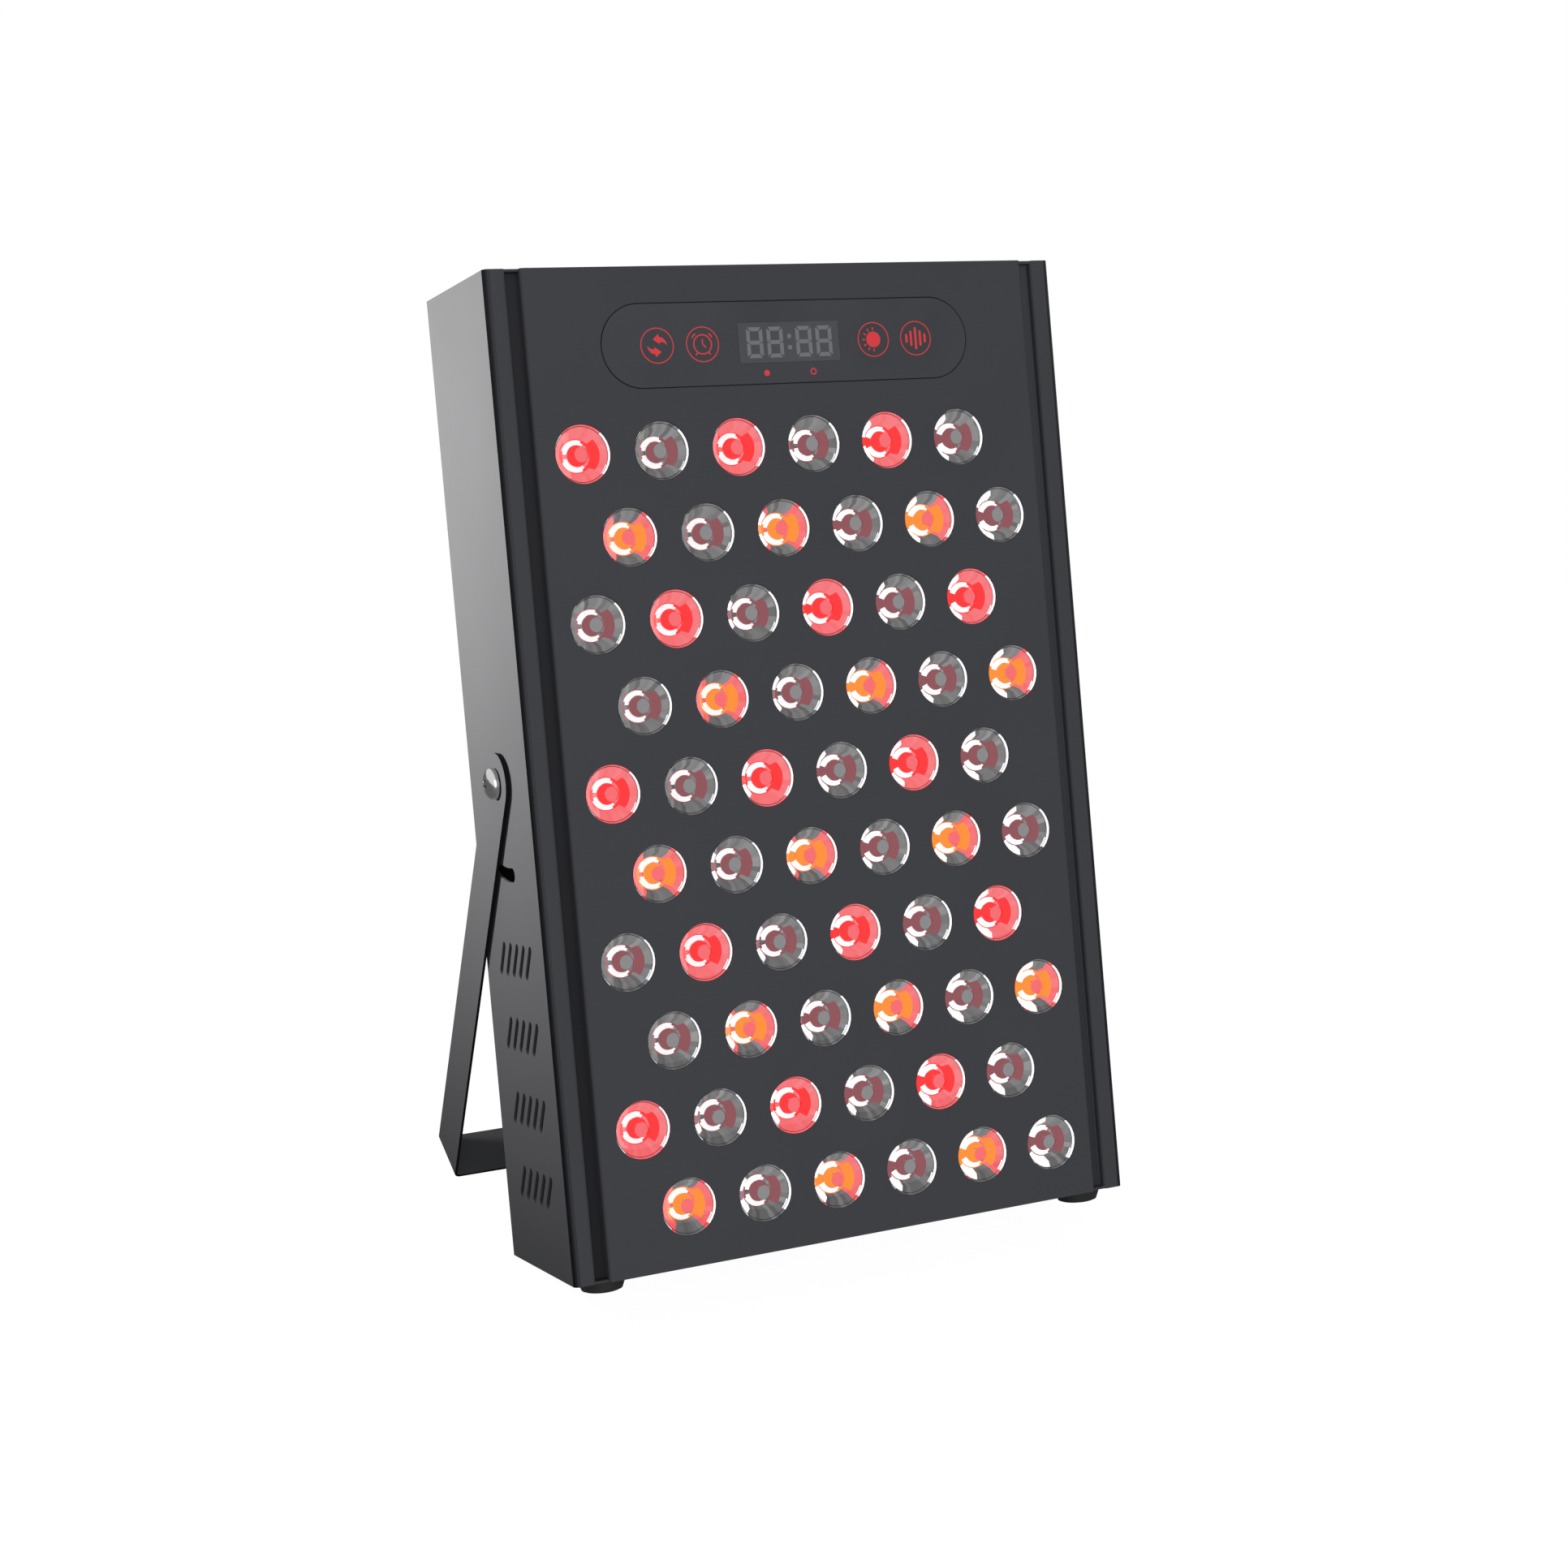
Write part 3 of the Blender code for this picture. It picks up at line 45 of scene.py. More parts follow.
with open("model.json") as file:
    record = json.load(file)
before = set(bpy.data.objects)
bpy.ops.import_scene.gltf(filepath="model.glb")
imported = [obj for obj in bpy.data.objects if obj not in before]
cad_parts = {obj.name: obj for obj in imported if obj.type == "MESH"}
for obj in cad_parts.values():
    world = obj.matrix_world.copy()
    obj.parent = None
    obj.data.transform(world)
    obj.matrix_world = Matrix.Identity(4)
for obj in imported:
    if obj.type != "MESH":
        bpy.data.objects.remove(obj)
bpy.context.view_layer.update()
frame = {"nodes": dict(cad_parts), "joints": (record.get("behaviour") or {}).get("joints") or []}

# Sizes shared by several pieces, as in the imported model
HALF_WIDTH = 0.10525
BODY_HEIGHT = 0.3333
BODY_DEPTH = 0.0637
SHEET = 0.001
GROOVE_EDGE = 0.09785
PLATE_HALF = 0.09325
LEDGE_EDGE = 0.08825
GROOVE_DEPTH = 0.003
SEAT = 0.0003
LENS_PITCH = 0.028
LENS_HOLE = 0.00975
BOTTOM_ROW = 0.02033
LENS_ROWS = 10
LENS_COLUMNS = 6
LENS_BASE = 0.0088
LED_TOP = 0.0077
DIMPLE_RADIUS = 0.0025
DIMPLE_DEPTH = 0.0007
LENS_RIM_BACK = 0.0021
LENS_TUBE_FRONT = 0.0037
BOARD_FRONT = 0.011
BOARD_BACK = 0.0126
PIVOT_DEPTH = 0.0293
PIVOT_HEIGHT = BODY_HEIGHT / 2
PIVOT_HOLE = 0.0027
FOOT_SIDE = 0.09225
FOOT_DEPTHS = {"front": 0.0108, "rear": 0.0478}
FOOT_HEIGHT = 0.0045
FOOT_LEDGE = 0.0026 - FOOT_HEIGHT
SIDES = {"left": -1, "right": 1}
SCREW_HOLE = 0.0018
OVERLAY = (0.0008, 0.307)
OVERLAY_SIZE = (0.1366, 0.0283)
WINDOW_SIZE = (0.0377, 0.0138)
FAN_HEIGHTS = {"lower": 0.12065, "upper": 0.21265}
FAN_SCREW = 0.03575
FAN_FRONT = 0.0424
FAN_BACK = 0.0624
FAN_HUB_LENGTH = 0.0035
COVER_SCREW_SIDE = 0.09925
COVER_SCREW_HEIGHTS = (0.014, PIVOT_HEIGHT, 0.3193)
INLET = (-0.025, 0.032)
SWITCH = (0.025, 0.032)
GUIDE_RADIUS = 0.0312965
STAND_ANGLE = radians(35.65)
LEG_OUTER = 0.10725
LEG_LENGTH = 0.17311
STAND_WIDTH = 0.0205

# What the modelling steps share: when points count as one, which edges are sharp, and a print's height
MERGE = 1e-6
SHARP_BEND = radians(60)
PRINT_FILM = 0.00003

# The four finishes of a lens, in the order of its material slots: clear plastic; a wall that glows with
# painted light and shade; a white that glows as a painted highlight; and the LED's own colour, also painted
# where its reflection shows.
CLEAR, WALL, PAINTED_HIGHLIGHT, LED = range(4)

# Where the panel leans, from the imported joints
JOINTS = {joint["name"]: joint for joint in frame["joints"]}
RIGHT = Vector(JOINTS["stand_hinge"]["axis"]).normalized()
BACK = Vector(JOINTS["lower_fan_spin"]["axis"]).normalized()
UP = RIGHT.cross(BACK)
PIVOT = Vector(JOINTS["stand_hinge"]["pos_m"])
ORIGIN = PIVOT - BACK * PIVOT_DEPTH - UP * PIVOT_HEIGHT
PANEL = Matrix((RIGHT, BACK, UP)).transposed().to_4x4()
PANEL.translation = ORIGIN
STAND = PANEL @ Matrix.Translation((0, PIVOT_DEPTH, PIVOT_HEIGHT)) @ Matrix.Rotation(STAND_ANGLE, 4, "X")
FACING_FRONT = Matrix.Rotation(pi / 2, 4, "X")
FACING_BACK = Matrix.Rotation(-pi / 2, 4, "X")
FACING_RIGHT = Matrix.Rotation(pi / 2, 4, "Z") @ Matrix.Rotation(pi / 2, 4, "X")


def colour_property(name, description, default):
    return FloatVectorProperty(
        name=name, description=description, default=default, size=3, min=0, max=1, subtype="COLOR"
    )


def length_property(name, description, default):
    return FloatProperty(
        name=name,
        description=description,
        default=default,
        min=0,
        soft_max=0.02,
        unit="LENGTH",
        precision=5,
    )


class PanelSizes(bpy.types.PropertyGroup):
    """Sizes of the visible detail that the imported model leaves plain."""

    corner_bend: length_property("Corner bend", "Outer radius of the housing's front corners", 0.002)
    sheet_bend: length_property("Sheet bend", "Inner radius of the sharper folds", 0.0003)
    soft_edge: length_property("Soft edge", "Chamfer that paint leaves on a cut edge", 0.00015)
    lens_face: length_property("Lens face", "Radius of a lens's clear face", 0.0091)
    lens_recess: length_property("Lens recess", "How far the clear face lies behind the plate", 0.0015)
    lens_tube: length_property("Lens tube", "Radius of a lens where it stands over its LED", 0.0055)
    led_radius: length_property("LED radius", "Radius of an LED's dome", 0.0034)
    mark_line: length_property("Mark line", "Width of the printed lines on the overlay", 0.00042)
    lens_sides: IntProperty(
        name="Lens sides", description="Facets round a lens", default=32, min=12, soft_max=96
    )


class PanelColours(bpy.types.PropertyGroup):
    """Colours of the paints, plastics and LEDs."""

    housing: colour_property("Housing", "Powder coat of housing and rear cover", (0.054, 0.0555, 0.063))
    plate: colour_property("Front plate", "Powder coat of the front plate", (0.055, 0.0565, 0.0645))
    stand: colour_property("Stand", "Powder coat of the stand", (0.054, 0.0555, 0.063))
    red: colour_property("Red LED", "Light of the red LEDs", (1.0, 0.012, 0.016))
    orange: colour_property("Orange LED", "Light of the warm LEDs", (1.0, 0.26, 0.014))
    # also the faint glow of an LED that is off: painted light
    unlit: colour_property("Unlit LED", "Dome of an LED that is off", (0.25, 0.062, 0.075))
    glow: colour_property("Lens glow", "Light of a lit LED on its lens's wall", (0.95, 0.15, 0.165))
    # painted light: the grey glow of the wall of a lens whose LED is off
    haze: colour_property("Lens haze", "The wall of a lens whose LED is off", (0.165, 0.165, 0.168))
    marks: colour_property("Marks", "Print of the touch marks", (0.71, 0.057, 0.064))
    digits: colour_property("Digits", "Unlit segments of the display", (0.173, 0.177, 0.191))
    window: colour_property("Window", "Smoked window of the display", (0.076, 0.078, 0.087))
    plastic: colour_property("Black plastic", "Fans, inlet and switch", (0.016, 0.016, 0.017))
    rubber: colour_property("Rubber", "Feet", (0.014, 0.014, 0.015))


class StudioSettings(bpy.types.PropertyGroup):
    """Light of the studio round the panel."""

    sky: FloatProperty(name="Sky", description="Even light from all round", default=0.52, min=0, soft_max=2)
    key: FloatProperty(
        name="Front lamp", description="Large soft lamp in front", default=11.8, min=0, unit="POWER"
    )
    side: FloatProperty(
        name="Side lamp", description="Lamp that grades the left wall", default=6.5, min=0, unit="POWER"
    )
    floor: colour_property("Floor", "Pale floor under the panel", (0.25, 0.25, 0.25))


def sizes():
    return bpy.context.scene.light_panel_sizes


def colours():
    return bpy.context.scene.light_panel_colours


def studio():
    return bpy.context.scene.light_panel_studio


# Materials


class Wire:
    """A value that flows through a material, on which arithmetic adds Math nodes."""

    def __init__(self, look, socket):
        self.look = look
        self.socket = socket

    def math(self, operation, first, second):
        return self.look.math(operation, first, second)

    def __add__(self, other):
        return self.math("ADD", self, other)

    def __sub__(self, other):
        return self.math("SUBTRACT", self, other)

    def __rsub__(self, other):
        return self.math("SUBTRACT", other, self)

    def __mul__(self, other):
        return self.math("MULTIPLY", self, other)

    def __truediv__(self, other):
        return self.math("DIVIDE", self, other)

    def above(self, edge):
        return self.math("GREATER_THAN", self, edge)

    def below(self, edge):
        return self.math("LESS_THAN", self, edge)

    def most(self, other):
        return self.math("MAXIMUM", self, other)

    __radd__ = __add__
    __rmul__ = __mul__


class Look:
    """A material with one Principled shader, and one method that adds any other node."""

    def __init__(self, name, colour, **constants):
        self.material = bpy.data.materials.new(name)
        self.material.use_nodes = True
        self.material.diffuse_color = (*colour, 1)
        self.tree = self.material.node_tree
        self.shader = self.tree.nodes["Principled BSDF"]
        self.set(Base_Color=(*colour, 1), **constants)

    def set(self, **values):
        """Feeds the shader's sockets, whose names are given with an underscore for a space."""
        for name, value in values.items():
            self.feed(self.shader.inputs[name.replace("_", " ")], value)
        return self

    def feed(self, socket, value):
        if isinstance(value, Wire):
            self.tree.links.new(value.socket, socket)
        else:
            socket.default_value = value

    def node(self, kind, settings=None, inputs=None, output=0):
        """Any node: its type, its settings, its sockets' values or wires, and the output to use."""
        made = self.tree.nodes.new(kind)
        for name, value in (settings or {}).items():
            setattr(made, name, value)
        for name, value in (inputs or {}).items():
            self.feed(made.inputs[name], value)
        return Wire(self, made.outputs[output])

    def math(self, operation, first, second=0.0, third=0.0):
        """A Math node on one, two or three values."""
        return self.node("ShaderNodeMath", {"operation": operation}, {0: first, 1: second, 2: third})

    def place(self):
        return self.node("ShaderNodeTexCoord", output="Object")

    def along(self, axis):
        """How far a point lies along one of the panel's axes, from the panel's own zero."""
        inputs = {0: self.place(), 1: tuple(axis)}
        reach = self.node("ShaderNodeVectorMath", {"operation": "DOT_PRODUCT"}, inputs, "Value")
        return reach - axis.dot(ORIGIN)

    def noise(self, scale, detail, stretch=(1, 1, 1)):
        """A noise value about one half, whose grains are about one over the scale in metres."""
        at = self.node("ShaderNodeMapping", {}, {"Vector": self.place(), "Scale": stretch})
        return self.node("ShaderNodeTexNoise", {}, {"Vector": at, "Scale": scale, "Detail": detail})

    def mix(self, factor, first, second, blend="MIX"):
        """A colour between two, where a factor of one gives the second."""
        first, second = (value if isinstance(value, Wire) else (*value, 1) for value in (first, second))
        settings = {"data_type": "RGBA", "blend_type": blend}
        return self.node("ShaderNodeMix", settings, {0: factor, 6: first, 7: second}, 2)

    def bump(self, height, distance, strength):
        inputs = {"Height": height, "Distance": distance, "Strength": strength}
        return self.node("ShaderNodeBump", {}, inputs, "Normal")


def scaled(colour, share):
    return tuple(min(1.0, part * share) for part in colour)


def powder_coat(name, colour, shade=None):
    """Baked matt paint: an even colour with a slight cloud, and the fine peel that catches the light.

    A shade adds painted shade: it darkens the paint, and where it also makes it metallic over that dark
    colour, it dims its reflection.
    """
    look = Look(name, colour, Specular_IOR_Level=0.03)
    cloud = look.noise(scale=26.0, detail=3.0)
    peel = look.noise(scale=1100.0, detail=2.0)
    paint = look.mix(cloud, scaled(colour, 0.95), scaled(colour, 1.05))
    if shade:
        # painted shade: the paint turns near black where the shade is high, and metallic where its
        # reflection is dimmed
        dark, shade_metallic = shade(look)
        paint = look.mix(dark, paint, (0.001, 0.001, 0.001))
        look.set(Metallic=shade_metallic)
    return look.set(
        Base_Color=paint,
        Roughness=0.5 + (cloud - 0.5) * 0.06 + (peel - 0.5) * 0.08,
        Normal=look.bump(peel, distance=0.00003, strength=0.5),
    )


def shadowed_coat(name, colour):
    """The housing's paint with painted shade: darkened in its grooves, most on the left, and darkened and
    made metallic on its front bends, which dims their reflection.
    """
    slack = 0.0001
    floor_edge = GROOVE_EDGE - 0.0003
    below_strips = 0.004
    end_margin = 0.002

    def shade(look):
        side = look.along(RIGHT)
        across = look.math("ABSOLUTE", side)
        depth = look.along(BACK)
        low = 1.0 - look.along(UP) / BODY_HEIGHT
        in_groove = across.above(PLATE_HALF) * across.below(GROOVE_EDGE + slack) * depth.below(below_strips)
        in_groove = in_groove * low.above(end_margin) * low.below(1 - end_margin)
        on_right = side.above(0.0)
        # painted shade in the grooves: on the right growing towards the bottom; on the left strong all along
        # and stronger towards the bottom
        right_groove_shade = on_right * across.below(floor_edge) * low * 0.35
        left_groove_shade = (1.0 - on_right) * (low * 0.2 + 0.5)
        corner = sizes().corner_bend
        # painted shade on the front bends, darker towards the side walls, and metallic there to dim their
        # reflection
        on_bend = across.above(HALF_WIDTH - corner) * depth.below(corner + slack)
        bend_shade = look.math("MULTIPLY_ADD", depth / corner, 0.25, 0.58)
        return (in_groove * (right_groove_shade + left_groove_shade)).most(on_bend * bend_shade), on_bend

    return powder_coat(name, colour, shade=shade)


def moulded(name, colour, roughness, grain=2200.0, depth=0.00002, specular=0.5):
    """Plastic or rubber with the fine texture of its mould."""
    look = Look(name, colour, Specular_IOR_Level=specular)
    pit = look.noise(grain, detail=3.0)
    smear = look.noise(scale=45.0, detail=2.0)
    return look.set(
        Base_Color=look.mix(smear, scaled(colour, 0.88), scaled(colour, 1.14)),
        Roughness=roughness + (smear - 0.5) * 0.14,
        Normal=look.bump(pit, depth, strength=0.6),
    )


def metal(name, colour, roughness, stretch=(1, 1, 1)):
    """Plated or drawn metal, whose fine scratches run along an axis with a stretch below one."""
    look = Look(name, colour, Metallic=1.0)
    lines = look.noise(scale=900.0, detail=3.0, stretch=stretch)
    tarnish = look.noise(scale=60.0, detail=3.0)
    return look.set(
        Base_Color=look.mix(tarnish, scaled(colour, 0.84), scaled(colour, 1.1)),
        Roughness=roughness + (lines - 0.5) * 0.16 + (tarnish - 0.5) * 0.1,
        Normal=look.bump(lines, distance=0.00001, strength=0.5),
    )


def printed(name, colour, roughness=0.5, emission=0.0):
    """Ink or a display segment, very slightly uneven."""
    look = Look(name, colour, Roughness=roughness, Specular_IOR_Level=0.05)
    speck = look.noise(scale=2600.0, detail=2.0)
    shade = look.mix(speck, scaled(colour, 0.94), scaled(colour, 1.06))
    look.set(Base_Color=shade)
    if emission:
        look.set(Emission_Color=shade, Emission_Strength=emission)
    return look


def clear_lens(name):
    """Moulded clear plastic."""
    look = Look(name, (1, 1, 1), Roughness=0.0, Transmission_Weight=1.0, IOR=1.49, Specular_IOR_Level=0.25)
    cloud = look.noise(scale=160.0, detail=1.0)
    return look.set(Base_Color=look.mix(cloud, (0.97, 0.97, 0.975), (1, 1, 1)))


def lens_wall(name):
    """A lens's satin outside, seen through it, which glows with painted light: the mesh's glow attribute
    holds each facet's painted light and shade.
    """
    dark = (0.025, 0.025, 0.026)
    look = Look(name, dark, Roughness=0.5, Emission_Strength=1.0, Specular_IOR_Level=0.0)
    streak = look.noise(scale=900.0, detail=2.0)
    glow = look.node("ShaderNodeAttribute", {"attribute_name": "glow"}, output="Color")
    grain = look.mix(streak, (0.7, 0.7, 0.7), (1, 1, 1))
    return look.set(
        Base_Color=look.mix(streak, (0.02, 0.02, 0.021), (0.03, 0.03, 0.031)),
        Emission_Color=look.mix(0.3, glow, grain, "MULTIPLY"),
    )


def led_dome(name, colour):
    """The silicone dome of an LED, slightly cloudy, which glows in its colour: the light of a lit LED, and
    painted light for one that is off.
    """
    look = Look(name, colour, Roughness=0.4, Specular_IOR_Level=0.0, Emission_Strength=1.0)
    grain = look.noise(scale=700.0, detail=2.0)
    dark = scaled(colour, 0.05)
    return look.set(
        Base_Color=look.mix(grain, dark, scaled(dark, 1.2)),
        Emission_Color=look.mix(grain, scaled(colour, 0.96), scaled(colour, 1.04)),
    )


def circuit_board(name, mask, copper):
    """Solder mask over a faint net of tracks."""
    roughness = 0.38
    look = Look(name, mask, Roughness=roughness)
    cells = look.node(
        "ShaderNodeTexVoronoi",
        {"feature": "DISTANCE_TO_EDGE", "distance": "EUCLIDEAN"},
        {"Vector": look.place(), "Scale": 150.0, "Randomness": 0.35},
    )
    track = 1.0 - cells.above(0.06)
    return look.set(
        Base_Color=look.mix(track, mask, copper),
        Roughness=roughness + track * 0.12,
        Normal=look.bump(track, distance=0.00004, strength=0.6),
    )


def make_finishes():
    """Every paint, plastic, print, lens, board and metal of the panel."""
    c = colours()
    shadowed_coat("housing_coat", c.housing)
    powder_coat("plate_coat", c.plate)
    powder_coat("stand_coat", c.stand)
    # painted shade: a near-black coat for the stand's sheet edges, standing in for the shade of the edge and
    # the gap beside the wall
    powder_coat("stand_edge", scaled(c.stand, 0.12))
    moulded("overlay_film", c.plate, 0.5, grain=3000.0, depth=0.000006, specular=0.05)
    moulded("window_plastic", c.window, 0.35, grain=900.0, depth=0.000002, specular=0.05)
    moulded("driver_case", (0.22, 0.22, 0.23), 0.45)
    moulded("black_plastic", c.plastic, 0.4)
    moulded("rocker_plastic", scaled(c.plastic, 0.9), 0.28, grain=1500.0, depth=0.000006)
    moulded("washer_nylon", (0.035, 0.035, 0.035), 0.5)
    moulded("foot_rubber", c.rubber, 0.55, grain=1300.0, depth=0.00004)
    printed("display_segment", c.digits)
    printed("touch_mark", c.marks)
    printed("white_print", (0.78, 0.78, 0.78))
    # white like a reflector, and glowing: the lenses' painted highlights
    printed("led_reflector", (0.9, 0.9, 0.9), 0.4, emission=0.6)
    clear_lens("lens_plastic")
    lens_wall("lens_wall")
    led_dome("led_red", c.red)
    led_dome("led_orange", c.orange)
    # an LED that is off still glows faintly: painted light
    led_dome("led_unlit", c.unlit)
    circuit_board("led_board_mask", (0.7, 0.7, 0.69), (0.55, 0.54, 0.5))
    circuit_board("control_board_mask", (0.02, 0.09, 0.045), (0.05, 0.16, 0.07))
    metal("heat_sink_aluminium", (0.62, 0.63, 0.65), 0.35, stretch=(1, 1, 0.05))
    metal("bright_steel", (0.56, 0.56, 0.57), 0.24)
    metal("dark_steel", (0.16, 0.16, 0.165), 0.3)
    metal("pivot_steel", (0.6, 0.6, 0.605), 0.16)
    metal("nickel_plate", (0.7, 0.68, 0.63), 0.2)


def finishes():
    """Every material by name. They are made once, at the first call."""
    if "plate_coat" not in bpy.data.materials:
        make_finishes()
    return dict(bpy.data.materials.items())


# Outlines, as lists of points in X and Y


def arc(centre, radius, start, end, steps):
    turns = [start + (end - start) * i / steps for i in range(steps + 1)]
    return [(centre[0] + radius * cos(turn), centre[1] + radius * sin(turn)) for turn in turns]


def circle(centre, radius, sides):
    return arc(centre, radius, 0, 2 * pi, sides)[:-1]


def rectangle(centre, width, height, corner=0.0, steps=5):
    points = []
    for quarter, (sign_x, sign_y) in enumerate(((1, 1), (-1, 1), (-1, -1), (1, -1))):
        at = (centre[0] + sign_x * (width / 2 - corner), centre[1] + sign_y * (height / 2 - corner))
        if corner:
            points += arc(at, corner, quarter * pi / 2, (quarter + 1) * pi / 2, steps)
        else:
            points.append(at)
    return points


def oval(centre, width, height, lean=0.0, steps=16):
    """A slot with full-round ends, its long side leaning by an angle from X."""
    reach = (width - height) / 2
    points = []
    for turn in (0, pi):
        end = (centre[0] + reach * cos(lean + turn), centre[1] + reach * sin(lean + turn))
        points += arc(end, height / 2, lean + turn - pi / 2, lean + turn + pi / 2, steps)
    return points


def curved_slot(centre, radius, width, start, end, steps, round_ends=False):
    """A slot along an arc, with square or full-round ends."""
    half = width / 2
    outer = arc(centre, radius + half, start, end, steps)
    inner = arc(centre, radius - half, end, start, steps)
    if not round_ends:
        return outer + inner
    last = (centre[0] + radius * cos(end), centre[1] + radius * sin(end))
    first = (centre[0] + radius * cos(start), centre[1] + radius * sin(start))
    last_end = arc(last, half, end, end + pi, 8)
    first_end = arc(first, half, start + pi, start + 2 * pi, 8)
    return outer[:-1] + last_end + inner[1:-1] + first_end


def rounded_path(points, radii, steps):
    """An open path with each inner corner rounded by its own radius."""
    path = [points[0]]
    for before, corner, after, radius in zip(points, points[1:], points[2:], radii):
        one = (Vector(before) - Vector(corner)).normalized()
        two = (Vector(after) - Vector(corner)).normalized()
        middle = Vector(corner) + (one + two) * radius
        start = atan2(-two.y, -two.x)
        sweep = atan2(-one.y, -one.x) - start
        sweep = (sweep + pi) % (2 * pi) - pi
        path += arc(middle, radius, start, start + sweep, steps)
    return [*path, points[-1]]


def sheet_section(points, bends, steps=6):
    """Closed outline of sheet bent square along a path: its outer face on the path, its body to the right.

    A bend is the outer face's radius. Where the path turns left, the body is outside that bend.
    """
    ways = [(Vector(b) - Vector(a)).normalized() for a, b in zip(points, points[1:])]
    sides = [Vector((way.y, -way.x)) for way in ways]
    inner = [Vector(points[0]) + sides[0] * SHEET]
    inner_bends = []
    for corner, one, two, way, radius in zip(points[1:-1], sides, sides[1:], ways, bends):
        inner.append(Vector(corner) + (one + two) * SHEET)
        turns_right = two.dot(way) < 0
        inner_bends.append(radius - SHEET if turns_right else radius + SHEET)
    inner.append(Vector(points[-1]) + sides[-1] * SHEET)
    outer_path = rounded_path(points, bends, steps)
    inner_path = rounded_path([tuple(p) for p in inner], inner_bends, steps)
    return outer_path + inner_path[::-1]


def bar(start, end, width):
    """A straight stroke between two points."""
    a = Vector(start)
    b = Vector(end)
    way = (b - a).normalized()
    side = Vector((-way.y, way.x)) * width / 2
    return [tuple(p) for p in (a - side, b - side, b + side, a + side)]


def ring_outlines(centre, radius, line):
    """A thin ring, as four curved strokes that meet end to end."""
    quarter = pi / 2
    return [curved_slot(centre, radius, line, i * quarter, (i + 1) * quarter, 12) for i in range(4)]


# Modelling steps, each on one object


def deselect():
    if bpy.context.mode != "OBJECT":
        bpy.ops.object.mode_set(mode="OBJECT")
    bpy.ops.object.select_all(action="DESELECT")


def make_active(item):
    deselect()
    item.select_set(True)
    bpy.context.view_layer.objects.active = item


@contextmanager
def editing(item, kind="FACE"):
    """Edit mode on one piece, with nothing selected at the start."""
    make_active(item)
    bpy.ops.object.mode_set(mode="EDIT")
    bpy.ops.mesh.select_mode(type=kind)
    bpy.ops.mesh.select_all(action="DESELECT")
    yield item
    bpy.ops.object.mode_set(mode="OBJECT")


def select_faces(item, test):
    """Selects faces in edit mode by their middle and normal."""
    shape = bmesh.from_edit_mesh(item.data)
    for face in shape.faces:
        face.select_set(test(face.calc_center_median(), face.normal))
    bmesh.update_edit_mesh(item.data)


def select_edges(item, test):
    """Selects edges in edit mode by their two ends and the angle between their faces."""
    shape = bmesh.from_edit_mesh(item.data)
    for edge in shape.edges:
        bend = edge.calc_face_angle(0.0) if len(edge.link_faces) == 2 else pi
        edge.select_set(test(edge.verts[0].co, edge.verts[1].co, bend))
    bmesh.update_edit_mesh(item.data)


def named(name):
    item = bpy.context.object
    item.name = name
    item.data.name = name
    return item


def apply_modifier(item, kind, **settings):
    make_active(item)
    step = item.modifiers.new(kind.lower(), kind)
    for name, value in settings.items():
        setattr(step, name, value)
    bpy.ops.object.modifier_apply(modifier=step.name)
    return item


def move_mesh(item, matrix):
    item.data.transform(matrix)
    item.data.update()
    return item


def outline_loop(name, points, fill):
    """A circle of as many corners as the outline has, pulled to its points in X and Y."""
    deselect()
    bpy.ops.mesh.primitive_circle_add(vertices=len(points), radius=0.01, fill_type=fill)
    item = named(name)
    for vertex, (x, y) in zip(item.data.vertices, points):
        vertex.co = (x, y, 0)
    return item


def slab(name, points, low, high):
    """An outline extruded along Z from one level to another."""
    item = outline_loop(name, points, "NGON")
    move_mesh(item, Matrix.Translation((0, 0, low)))
    with editing(item):
        bpy.ops.mesh.select_all(action="SELECT")
        bpy.ops.mesh.extrude_region_move(TRANSFORM_OT_translate={"value": (0, 0, high - low)})
        bpy.ops.mesh.select_all(action="SELECT")
        bpy.ops.mesh.normals_make_consistent(inside=False)
    return item


def front_slab(name, points, front, back):
    """An outline drawn in X and Z, from one depth to another."""
    return move_mesh(slab(name, points, -back, -front), FACING_FRONT)


def side_slab(name, points, low, high):
    """An outline drawn in Y and Z, from one X to another."""
    return move_mesh(slab(name, points, low, high), FACING_RIGHT)


def turned(name, profile, sides, closed=False):
    """A profile of radius and height spun about Z, and closed where it meets the axis."""
    item = outline_loop(name, profile, "NOTHING")
    for vertex, (radius, height) in zip(item.data.vertices, profile):
        vertex.co = (radius, 0, height)
    ends = {tuple(item.data.vertices[number].co) for number in (0, len(profile) - 1)}
    with editing(item, "EDGE"):
        if not closed:
            select_edges(item, lambda a, b, bend: {tuple(a), tuple(b)} == ends)
            bpy.ops.mesh.delete(type="EDGE")
        bpy.ops.mesh.select_all(action="SELECT")
        bpy.ops.mesh.spin(steps=sides, angle=2 * pi, center=(0, 0, 0), axis=(0, 0, 1))
        bpy.ops.mesh.select_all(action="SELECT")
        bpy.ops.mesh.remove_doubles(threshold=MERGE)
        bpy.ops.mesh.normals_make_consistent(inside=False)
    return item


def block(name, low, high):
    """A block between two corners."""
    middle = (Vector(low) + Vector(high)) / 2
    deselect()
    bpy.ops.mesh.primitive_cube_add(size=1, location=middle, scale=Vector(high) - Vector(low))
    bpy.ops.object.transform_apply(location=True, rotation=True, scale=True)
    return named(name)


def block_behind(name, centre, half_width, half_height, front, back):
    """A block round a point in X and Z, from one depth to another."""
    x, z = centre
    return block(name, (x - half_width, front, z - half_height), (x + half_width, back, z + half_height))


